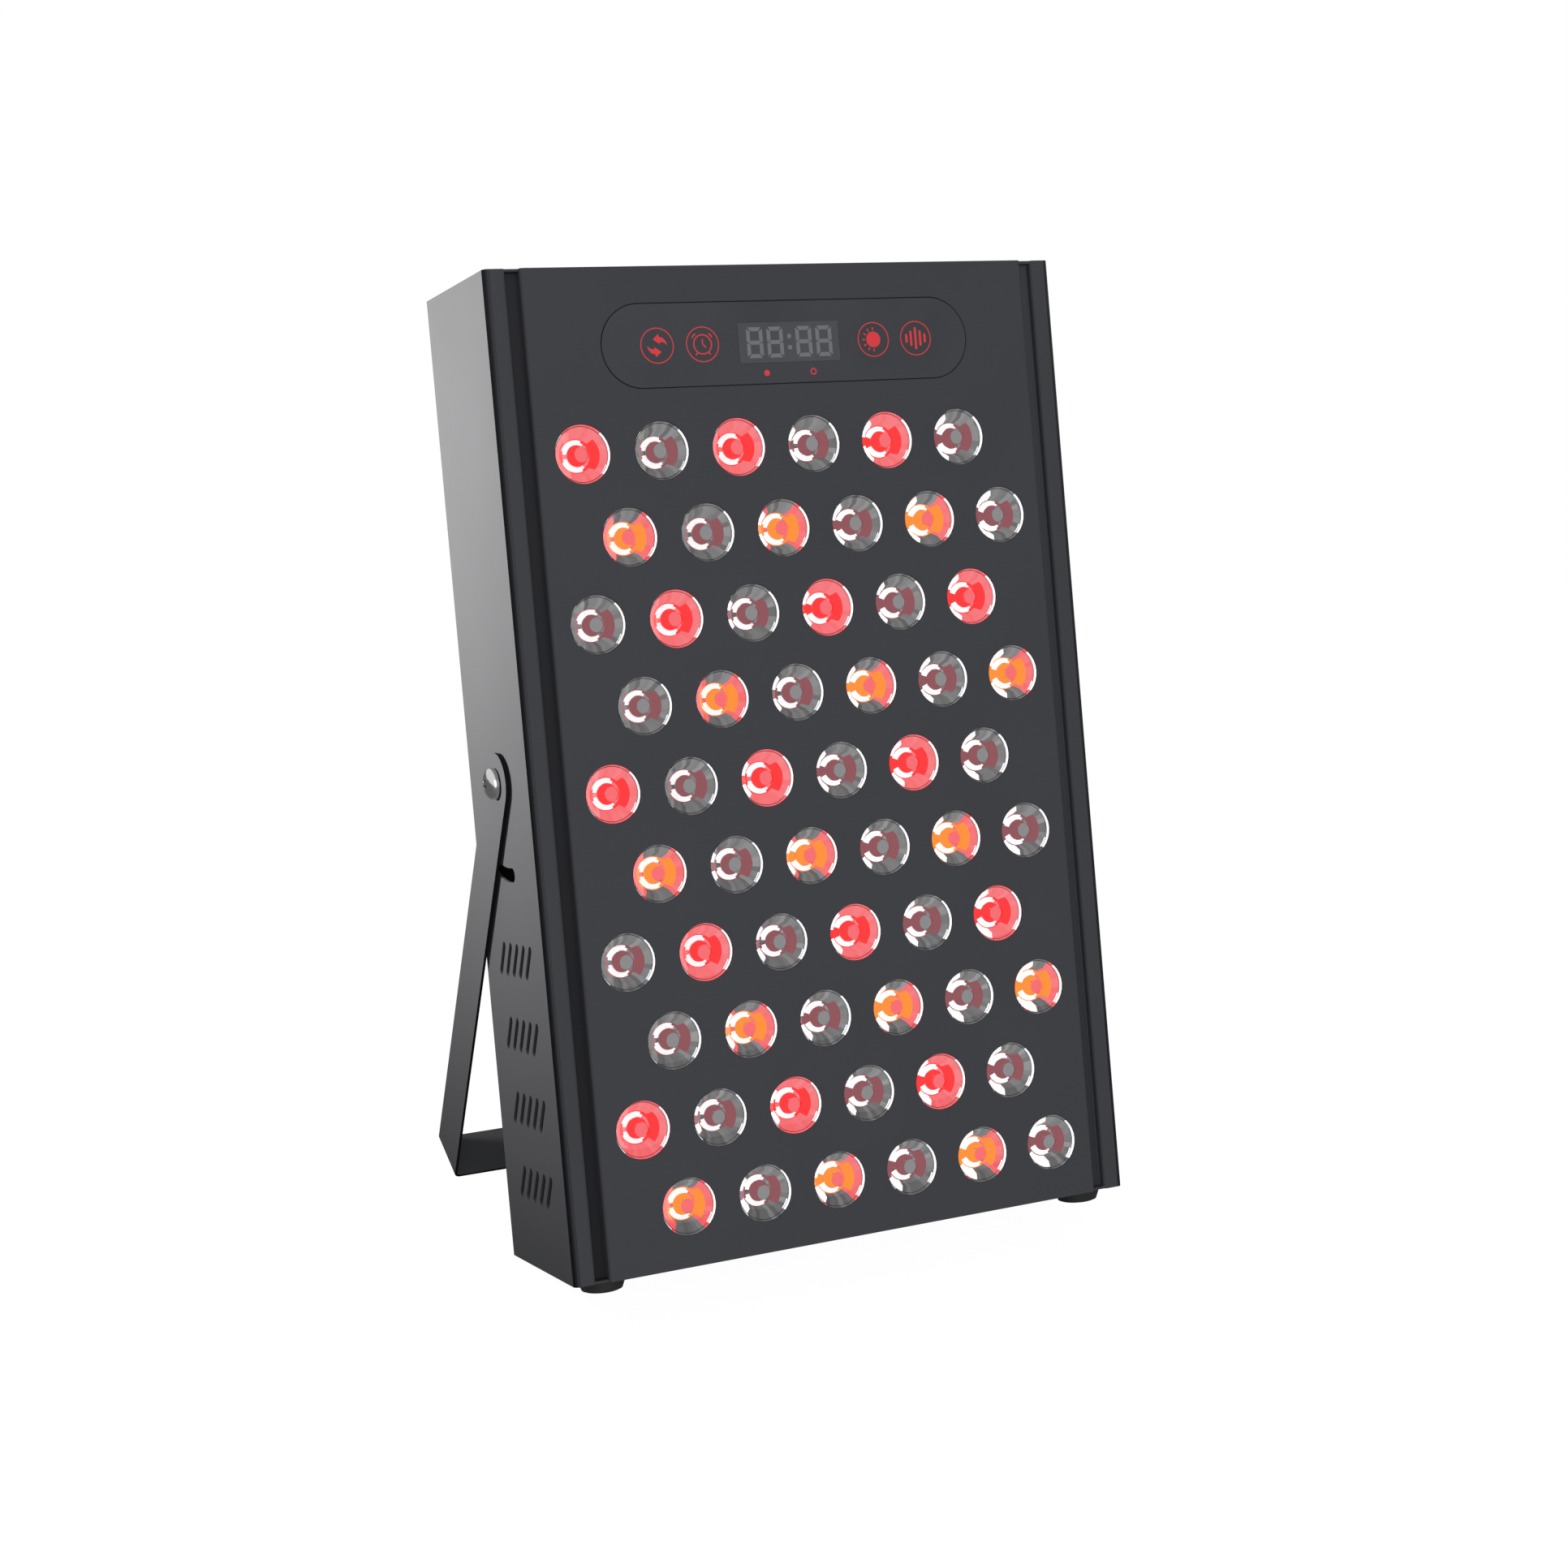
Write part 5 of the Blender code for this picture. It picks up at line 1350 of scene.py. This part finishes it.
def make_inlet(looks):
    """The appliance inlet: a flange and a block with a cavity, and its three prongs."""
    x, z = INLET
    front = BODY_DEPTH + SEAT
    face = front + 0.0018
    flange = front_slab("inlet", rectangle(INLET, 0.0312, 0.024, 0.002, 6), front, face)
    soften(flange, sharp_at_back(face), 0.0004)
    socket = block_behind("inlet_block", INLET, 0.0135, 0.0099, face - 0.021, face - 0.0009)
    combine(flange, socket, "UNION")
    half_x = 0.0119
    half_z = 0.0083
    cut = 0.004
    mouth = [
        (x - half_x, z - half_z),
        (x + half_x, z - half_z),
        (x + half_x, z + half_z - cut),
        (x + half_x - cut, z + half_z),
        (x - half_x + cut, z + half_z),
        (x - half_x, z + half_z - cut),
    ]
    combine(flange, front_slab("cavity", mouth, face - 0.016, face + 0.002), "DIFFERENCE")
    recalculated(flange)
    settle(flange, looks["black_plastic"], "panel", ["power_inlet"])
    prongs = []
    for across, level in ((-0.007, -0.002), (0.007, -0.002), (0, 0.002)):
        low = (x + across - 0.001, face - 0.017, z + level - 0.002)
        high = (x + across + 0.001, face - 0.003, z + level + 0.002)
        prong = block("prong", low, high)
        with editing(prong, "EDGE"):
            bpy.ops.mesh.select_all(action="SELECT")
            bpy.ops.mesh.bevel(offset=0.0004, segments=3, affect="EDGES")
        prongs.append(prong)
    settle(joined("inlet_prongs", prongs), looks["nickel_plate"], "panel", ["power_inlet"])


def make_switch(looks):
    """The switch's bezel and body, with the well that its rocker tips in."""
    front = BODY_DEPTH + SEAT
    face = front + 0.0016
    body = front_slab("switch_frame", rectangle(SWITCH, 0.015, 0.0212, 0.001, 5), front, face)
    soften(body, sharp_at_back(face), 0.0004)
    inner = block_behind("switch_block", SWITCH, 0.0065, 0.0096, face - 0.018, face - 0.0008)
    combine(body, inner, "UNION")
    well = block_behind("well", SWITCH, 0.0053, 0.0084, face - 0.005, face + 0.002)
    combine(body, well, "DIFFERENCE")
    recalculated(body)
    settle(body, looks["black_plastic"], "panel", ["switch_body"])
    make_rocker(looks, face)


def make_rocker(looks, face):
    """A crowned bar with a waist at its pin, and a printed bar on one half and a ring on the other."""
    x, z = SWITCH
    tilt = radians(8)
    reach = 0.0081 * cos(tilt) - 0.0022 * sin(tilt)
    crown = 0.0022
    waist = 0.001
    curve = 1.4
    shares = [step / 6 - 1 for step in range(13)]
    top = [(waist + (crown - waist) * abs(share) ** curve, -reach * share) for share in shares]
    side = [*top, (-0.0005, -reach), (-0.003, -reach / 2), (-0.004, -reach / 4)]
    side += [(-0.004, reach / 4), (-0.003, reach / 2), (-0.0005, reach)]
    rocker = side_slab("rocker", side, -0.005, 0.005)
    soften(rocker, lambda a, b, bend: bend > radians(50) and min(a.y, b.y) > 0.0005, 0.0003)
    rocker_place = PANEL @ Matrix.Translation((x, face - SEAT, z)) @ Matrix.Rotation(tilt, 4, "X")
    settle(rocker, looks["rocker_plastic"], "rocker", ["switch_rocker"], place=rocker_place)
    mark_at = 0.55
    line = 0.0005
    depth = waist + (crown - waist) * mark_at**curve
    lean = atan2((crown - waist) * curve * mark_at ** (curve - 1), reach)
    marks = (
        ("rocker_mark_on", 1, [bar((0, -0.0011), (0, 0.0011), line)]),
        ("rocker_mark_off", -1, ring_outlines((0, 0), 0.0011, line)),
    )
    for name, sign, outlines in marks:
        mark = thin_prints(name, outlines, 0.0, 0.00004)
        at = Matrix.Translation((0, depth + 0.00002, sign * reach * mark_at))
        mark_place = rocker_place @ at @ Matrix.Rotation(-sign * lean, 4, "X")
        settle(mark, looks["white_print"], "rocker", place=mark_place)


def phillips_screw(name, radius, height, shank, length, recess):
    """A pan head above zero with a crowned top and a cross recess, and its shank below."""
    crown = [(radius * sin(a), height * (0.36 + 0.64 * cos(a))) for a in (0.35, 0.7, 1.0, 1.25, 1.45)]
    rim = height * 0.06
    profile = [(0, height), *crown, (radius, height * 0.3), (radius, rim), (radius - rim, 0)]
    profile += [(shank, 0), (shank, -length + shank * 0.3), (shank * 0.7, -length), (0, -length)]
    screw = turned(name, profile, 32)
    floor = height * 0.42
    half_slot = recess * 0.2
    for turn in (0, pi / 2):
        slot = block("slot", (-recess, -half_slot, floor), (recess, half_slot, height * 1.5))
        with editing(slot):
            select_faces(slot, lambda middle, normal: normal.z < -0.9)
            taper = (0.55, 0.6, 1)
            bpy.ops.transform.resize(value=taper, orient_type="GLOBAL", center_override=(0, 0, floor))
        move_mesh(slot, Matrix.Rotation(turn + pi / 4, 4, "Z"))
        combine(screw, slot, "DIFFERENCE")
    return recalculated(screw)


def make_screws(looks):
    """The screws of cover, fans and feet: one model, with its cross turned differently at each place."""
    source = phillips_screw("screw", radius=0.003, height=0.0014, shank=0.0015, length=0.006, recess=0.0016)
    places = [(f"cover_screw_{n}", at) for n, at in enumerate(cover_screw_places(), start=1)]
    for which, height in FAN_HEIGHTS.items():
        places += [(f"fan_screw_{which}_{n}", at) for n, at in enumerate(fan_screw_places(height), start=1)]
    for number, (node, (x, z)) in enumerate(places):
        turn = Matrix.Rotation(radians(37 * number), 4, "Z")
        at = Matrix.Translation((x, BODY_DEPTH + SEAT, z))
        screw = copied(source, f"pan_{node}", at @ FACING_BACK @ turn)
        settle(screw, looks["dark_steel"], "panel", [node])
    downward = Matrix.Rotation(pi, 4, "X")
    for which, (x, depth) in foot_places():
        turn = Matrix.Rotation(radians(20 if x < 0 else 70), 4, "Z")
        at = Matrix.Translation((x, depth, FOOT_LEDGE - SEAT))
        screw = copied(source, f"pan_foot_screw_{which}", at @ downward @ turn)
        settle(screw, looks["dark_steel"], "panel", [f"foot_screw_{which}"])
    bpy.data.objects.remove(source)


def make_pivots(looks):
    """On each side a domed screw outside the leg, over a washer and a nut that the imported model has."""
    head = LEG_OUTER + SEAT
    nut = 0.004
    reach = head - (HALF_WIDTH - SHEET - SEAT - nut - 0.001)
    source = phillips_screw("pivot", radius=0.0053, height=0.0038, shank=0.0024, length=reach, recess=0.0024)
    for side, sign in SIDES.items():
        outward = Matrix.Rotation(sign * pi / 2, 4, "Y") @ Matrix.Rotation(radians(12), 4, "Z")
        at = Matrix.Translation((sign * head, PIVOT_DEPTH, PIVOT_HEIGHT))
        screw = copied(source, f"dome_screw_{side}", at @ outward)
        settle(screw, looks["pivot_steel"], "panel", [f"pivot_screw_{side}"])
    bpy.data.objects.remove(source)


def make_stand(looks):
    """One strip bent into a U: a crossbar and two legs with round tops, drawn about the pivots' axis."""
    bend = 0.0022
    top = 0.04
    bottom = -LEG_LENGTH - SHEET
    path = [(LEG_OUTER, top), (LEG_OUTER, bottom), (-LEG_OUTER, bottom), (-LEG_OUTER, top)]
    half = STAND_WIDTH / 2
    stand = front_slab("stand", sheet_section(path, (bend, bend)), -half, half)
    round_top = reversed(arc((0, 0), half, 0, pi, 48)[1:-1])
    outer = [(-0.03, 0), (-half, 0), *round_top, (half, 0), (0.03, 0), (0.03, 0.06), (-0.03, 0.06)]
    past_legs = 0.12
    combine(stand, side_slab("leg_tops", outer, -past_legs, past_legs), "DIFFERENCE")
    pivot_holes = side_slab("pivot_holes", circle((0, 0), PIVOT_HOLE, 32), -past_legs, past_legs)
    combine(stand, pivot_holes, "DIFFERENCE")
    socket_end = LEG_OUTER - SHEET + 0.0006
    socket = circle((0, -GUIDE_RADIUS), 0.00225, 24)
    sockets = side_slab("pin_sockets", socket, -socket_end, socket_end)
    combine(stand, sockets, "DIFFERENCE")
    recalculated(stand)
    soften(stand, lambda a, b, bend: bend > SHARP_BEND and hypot(a.y, a.z) > 0.005, sizes().soft_edge)
    stand.data.materials.append(looks["stand_coat"])
    stand.data.materials.append(looks["stand_edge"])
    # the strip's edges take the near-black coat: painted shade
    for face in stand.data.polygons:
        on_leg = abs(face.center.x) > LEG_OUTER - SHEET - MERGE
        shaded_edge = abs(face.normal.x) < 0.3 and (on_leg or abs(face.normal.y) > 0.9)
        face.material_index = int(shaded_edge)
    settle(stand, None, "stand", ["stand_bracket"], place=STAND)


def make_guide_pins(looks):
    """The stand's two headed pins, which run in the arc slots."""
    shaft = 0.0021
    head = 0.0034
    head_start = 0.0032
    head_end = 0.0042
    profile = [(0, 0), (shaft, 0), (shaft, head_start), (0.0032, head_start), (head, 0.0034)]
    profile += [(head, head_end), (0, head_end)]
    for side, sign in SIDES.items():
        pin = turned(f"headed_pin_{side}", profile, 32)
        at = Matrix.Translation((sign * (LEG_OUTER - SHEET + 0.0003), 0, -GUIDE_RADIUS))
        move_mesh(pin, at @ Matrix.Rotation(-sign * pi / 2, 4, "Y"))
        settle(pin, looks["bright_steel"], "stand", [f"guide_pin_{side}"], place=STAND)


def make_feet(looks):
    """Four rubber feet, tapered and rounded below, with a sunk screw."""
    bottom = -FOOT_HEIGHT
    round_edge = 0.0012
    centre = (0.0073 - round_edge, round_edge - FOOT_HEIGHT)
    profile = [(0.0083, -SEAT), (0.0082, -0.0009), *arc(centre, round_edge, 0, -pi / 2, 2)]
    profile += [(0.0036, bottom), (0.0033, -0.0042), (0.0033, FOOT_LEDGE), (SCREW_HOLE, FOOT_LEDGE)]
    profile += [(SCREW_HOLE, -SEAT)]
    source = turned("foot", profile, 56, closed=True)
    for which, (x, depth) in foot_places():
        foot = copied(source, f"rubber_foot_{which}", Matrix.Translation((x, depth, 0)))
        settle(foot, looks["foot_rubber"], "panel", [f"foot_{which}"])
    bpy.data.objects.remove(source)


CARRIED_OVER = {
    "display_module": "black_plastic",
    "control_board": "control_board_mask",
    "heat_sink": "heat_sink_aluminium",
    "driver_left": "driver_case",
    "driver_right": "driver_case",
    "pivot_washer_left": "washer_nylon",
    "pivot_washer_right": "washer_nylon",
    "pivot_nut_left": "bright_steel",
    "pivot_nut_right": "bright_steel",
}


def dress_carried_over(looks):
    """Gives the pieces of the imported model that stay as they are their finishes."""
    for node, finish in CARRIED_OVER.items():
        item = frame["nodes"][node]
        for place in item.material_slots:
            place.material = looks[finish]


def studio_surface(name, colour, camera_share):
    """A pale surface that the camera sees nearly white, with the panel's shadow left faintly on it."""
    look = Look(name, colour, Roughness=0.9, Specular_IOR_Level=0.0)
    seen = look.node("ShaderNodeLightPath", output="Is Camera Ray")
    glow = look.node("ShaderNodeEmission", {}, {"Color": (1, 1, 1, 1), "Strength": 1.22})
    paper = Wire(look, look.shader.outputs[0])
    mixed = look.node("ShaderNodeMixShader", {}, {0: seen * camera_share, 1: paper, 2: glow})
    look.tree.links.new(mixed.socket, look.tree.nodes["Material Output"].inputs["Surface"])
    return look.material


def lamp(name, place, target, width, height, power):
    data = bpy.data.lights.new(name, "AREA")
    data.shape = "RECTANGLE"
    data.size = width
    data.size_y = height
    data.energy = power
    item = bpy.data.objects.new(name, data)
    bpy.context.scene.collection.objects.link(item)
    item.location = place
    item.rotation_euler = (Vector(target) - Vector(place)).to_track_quat("-Z", "Y").to_euler()
    return item


def make_sky(strength):
    """Even light from all round, which the camera, mirrors and glass see as white."""
    world = bpy.data.worlds.new("studio")
    bpy.context.scene.world = world
    world.use_nodes = True
    nodes = world.node_tree.nodes
    links = world.node_tree.links
    path = nodes.new("ShaderNodeLightPath")
    seen = path.outputs["Is Camera Ray"]
    for other in ("Is Glossy Ray", "Is Transmission Ray"):
        either = nodes.new("ShaderNodeMath")
        either.operation = "MAXIMUM"
        links.new(seen, either.inputs[0])
        links.new(path.outputs[other], either.inputs[1])
        seen = either.outputs[0]
    level = nodes.new("ShaderNodeMapRange")
    links.new(seen, level.inputs["Value"])
    level.inputs["To Min"].default_value = strength
    level.inputs["To Max"].default_value = 1.0
    background = nodes["Background"]
    background.inputs["Color"].default_value = (1, 1, 1, 1)
    links.new(level.outputs["Result"], background.inputs["Strength"])


def make_stage():
    """The floor, the sky, two soft lamps and the camera."""
    s = studio()
    bpy.context.scene.view_settings.view_transform = "Standard"
    deselect()
    bpy.ops.mesh.primitive_circle_add(vertices=64, radius=6, fill_type="NGON", location=(0, 0, 0))
    floor = named("floor")
    floor.data.materials.append(studio_surface("floor_paper", s.floor, 0.8))
    make_sky(s.sky)
    lamp("front_lamp", (-0.3, -1.35, 0.65), (0, 0, 0.16), 1.2, 1.2, s.key)
    side_place = PANEL @ Vector((-0.375, 0.075, 0.25))
    side_target = PANEL @ Vector((-0.105, 0.045, 0.5))
    side = lamp("side_lamp", side_place, side_target, 0.06, 0.12, s.side)
    side.visible_camera = False
    side.visible_glossy = False
    side.data.color = (1, 0.97, 0.865)
    place_camera()


def place_camera():
    """The photograph's view, in the panel's frame: the camera's place, and its right, down and forward."""
    place = Matrix.Translation((-0.3728, -0.7969, 0.1973))
    right = Vector((0.90724, -0.41178, -0.08577))
    down = Vector((-0.09683, -0.00602, -0.99528))
    forward = Vector((0.40933, 0.91126, -0.04534))
    turn = Matrix((right, -down, -forward)).transposed().to_4x4()
    data = bpy.data.cameras.new("camera")
    data.sensor_width = 36
    data.lens = 59.06
    data.clip_start = 0.01
    data.clip_end = 50
    camera = bpy.data.objects.new("camera", data)
    bpy.context.scene.collection.objects.link(camera)
    camera.matrix_world = PANEL @ place @ turn
    bpy.context.scene.camera = camera


class BuildStage(bpy.types.Operator):
    """Add the floor, the sky, the lamps and the camera"""

    bl_idname = "light_panel.stage"
    bl_label = "Stage"

    def execute(self, context):
        make_stage()
        return {"FINISHED"}


class BuildHousing(bpy.types.Operator):
    """Fold the housing with its groove, arc slots and vents"""

    bl_idname = "light_panel.housing"
    bl_label = "Housing"

    def execute(self, context):
        make_housing(finishes())
        return {"FINISHED"}


class BuildFrontPlate(bpy.types.Operator):
    """Fold the front plate with its lens holes"""

    bl_idname = "light_panel.front_plate"
    bl_label = "Front plate"

    def execute(self, context):
        make_front_plate(finishes())
        return {"FINISHED"}


class BuildLenses(bpy.types.Operator):
    """Turn one lens and its LED, and copy them to their rows on the two boards"""

    bl_idname = "light_panel.lenses"
    bl_label = "Lenses and LEDs"

    def execute(self, context):
        make_lenses(finishes())
        make_led_boards(finishes())
        return {"FINISHED"}


class BuildControls(bpy.types.Operator):
    """Make the overlay, its window, the display and the touch marks"""

    bl_idname = "light_panel.controls"
    bl_label = "Controls"

    def execute(self, context):
        make_controls(finishes())
        return {"FINISHED"}


class BuildRearCover(bpy.types.Operator):
    """Cut the rear cover with its two grilles"""

    bl_idname = "light_panel.rear_cover"
    bl_label = "Rear cover"

    def execute(self, context):
        make_rear_cover(finishes())
        return {"FINISHED"}


class BuildFans(bpy.types.Operator):
    """Make the two fans, each a frame and a rotor"""

    bl_idname = "light_panel.fans"
    bl_label = "Fans"

    def execute(self, context):
        make_fans(finishes())
        return {"FINISHED"}


class BuildPower(bpy.types.Operator):
    """Make the power inlet and the rocker switch"""

    bl_idname = "light_panel.power"
    bl_label = "Inlet and switch"

    def execute(self, context):
        make_inlet(finishes())
        make_switch(finishes())
        return {"FINISHED"}


class BuildScrews(bpy.types.Operator):
    """Turn the pan-head screws and the pivots' domed screws"""

    bl_idname = "light_panel.screws"
    bl_label = "Screws"

    def execute(self, context):
        make_screws(finishes())
        make_pivots(finishes())
        return {"FINISHED"}


class BuildStand(bpy.types.Operator):
    """Bend the stand and press in its guide pins"""

    bl_idname = "light_panel.stand"
    bl_label = "Stand"

    def execute(self, context):
        make_stand(finishes())
        make_guide_pins(finishes())
        return {"FINISHED"}


class BuildFeet(bpy.types.Operator):
    """Turn the rubber feet"""

    bl_idname = "light_panel.feet"
    bl_label = "Feet"

    def execute(self, context):
        make_feet(finishes())
        return {"FINISHED"}


class FinishInside(bpy.types.Operator):
    """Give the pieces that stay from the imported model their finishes"""

    bl_idname = "light_panel.inside"
    bl_label = "Inside pieces"

    def execute(self, context):
        dress_carried_over(finishes())
        return {"FINISHED"}


STEPS = (
    BuildStage,
    BuildHousing,
    BuildFrontPlate,
    BuildLenses,
    BuildControls,
    BuildRearCover,
    BuildFans,
    BuildPower,
    BuildScrews,
    BuildStand,
    BuildFeet,
    FinishInside,
)


class LightPanelSidebar(bpy.types.Panel):
    """Steps and settings of the light panel"""

    bl_idname = "LIGHTPANEL_PT_sidebar"
    bl_label = "Light panel"
    bl_space_type = "VIEW_3D"
    bl_region_type = "UI"
    bl_category = "Light panel"

    def draw(self, context):
        for step in STEPS:
            self.layout.operator(step.bl_idname)
        for group in GROUPS:
            settings = getattr(context.scene, group)
            box = self.layout.box()
            for name in settings.bl_rna.properties.keys():
                if name not in ("rna_type", "name"):
                    box.prop(settings, name)


GROUPS = {
    "light_panel_sizes": PanelSizes,
    "light_panel_colours": PanelColours,
    "light_panel_studio": StudioSettings,
}


def register():
    for kind in (*GROUPS.values(), *STEPS, LightPanelSidebar):
        bpy.utils.register_class(kind)
    for name, kind in GROUPS.items():
        setattr(bpy.types.Scene, name, PointerProperty(type=kind))


def unregister():
    for name in GROUPS:
        delattr(bpy.types.Scene, name)
    for kind in reversed((*GROUPS.values(), *STEPS, LightPanelSidebar)):
        bpy.utils.unregister_class(kind)


def main():
    register()
    for step in STEPS:
        group, name = step.bl_idname.split(".")
        getattr(getattr(bpy.ops, group), name)()


if __name__ == "__main__":
    main()
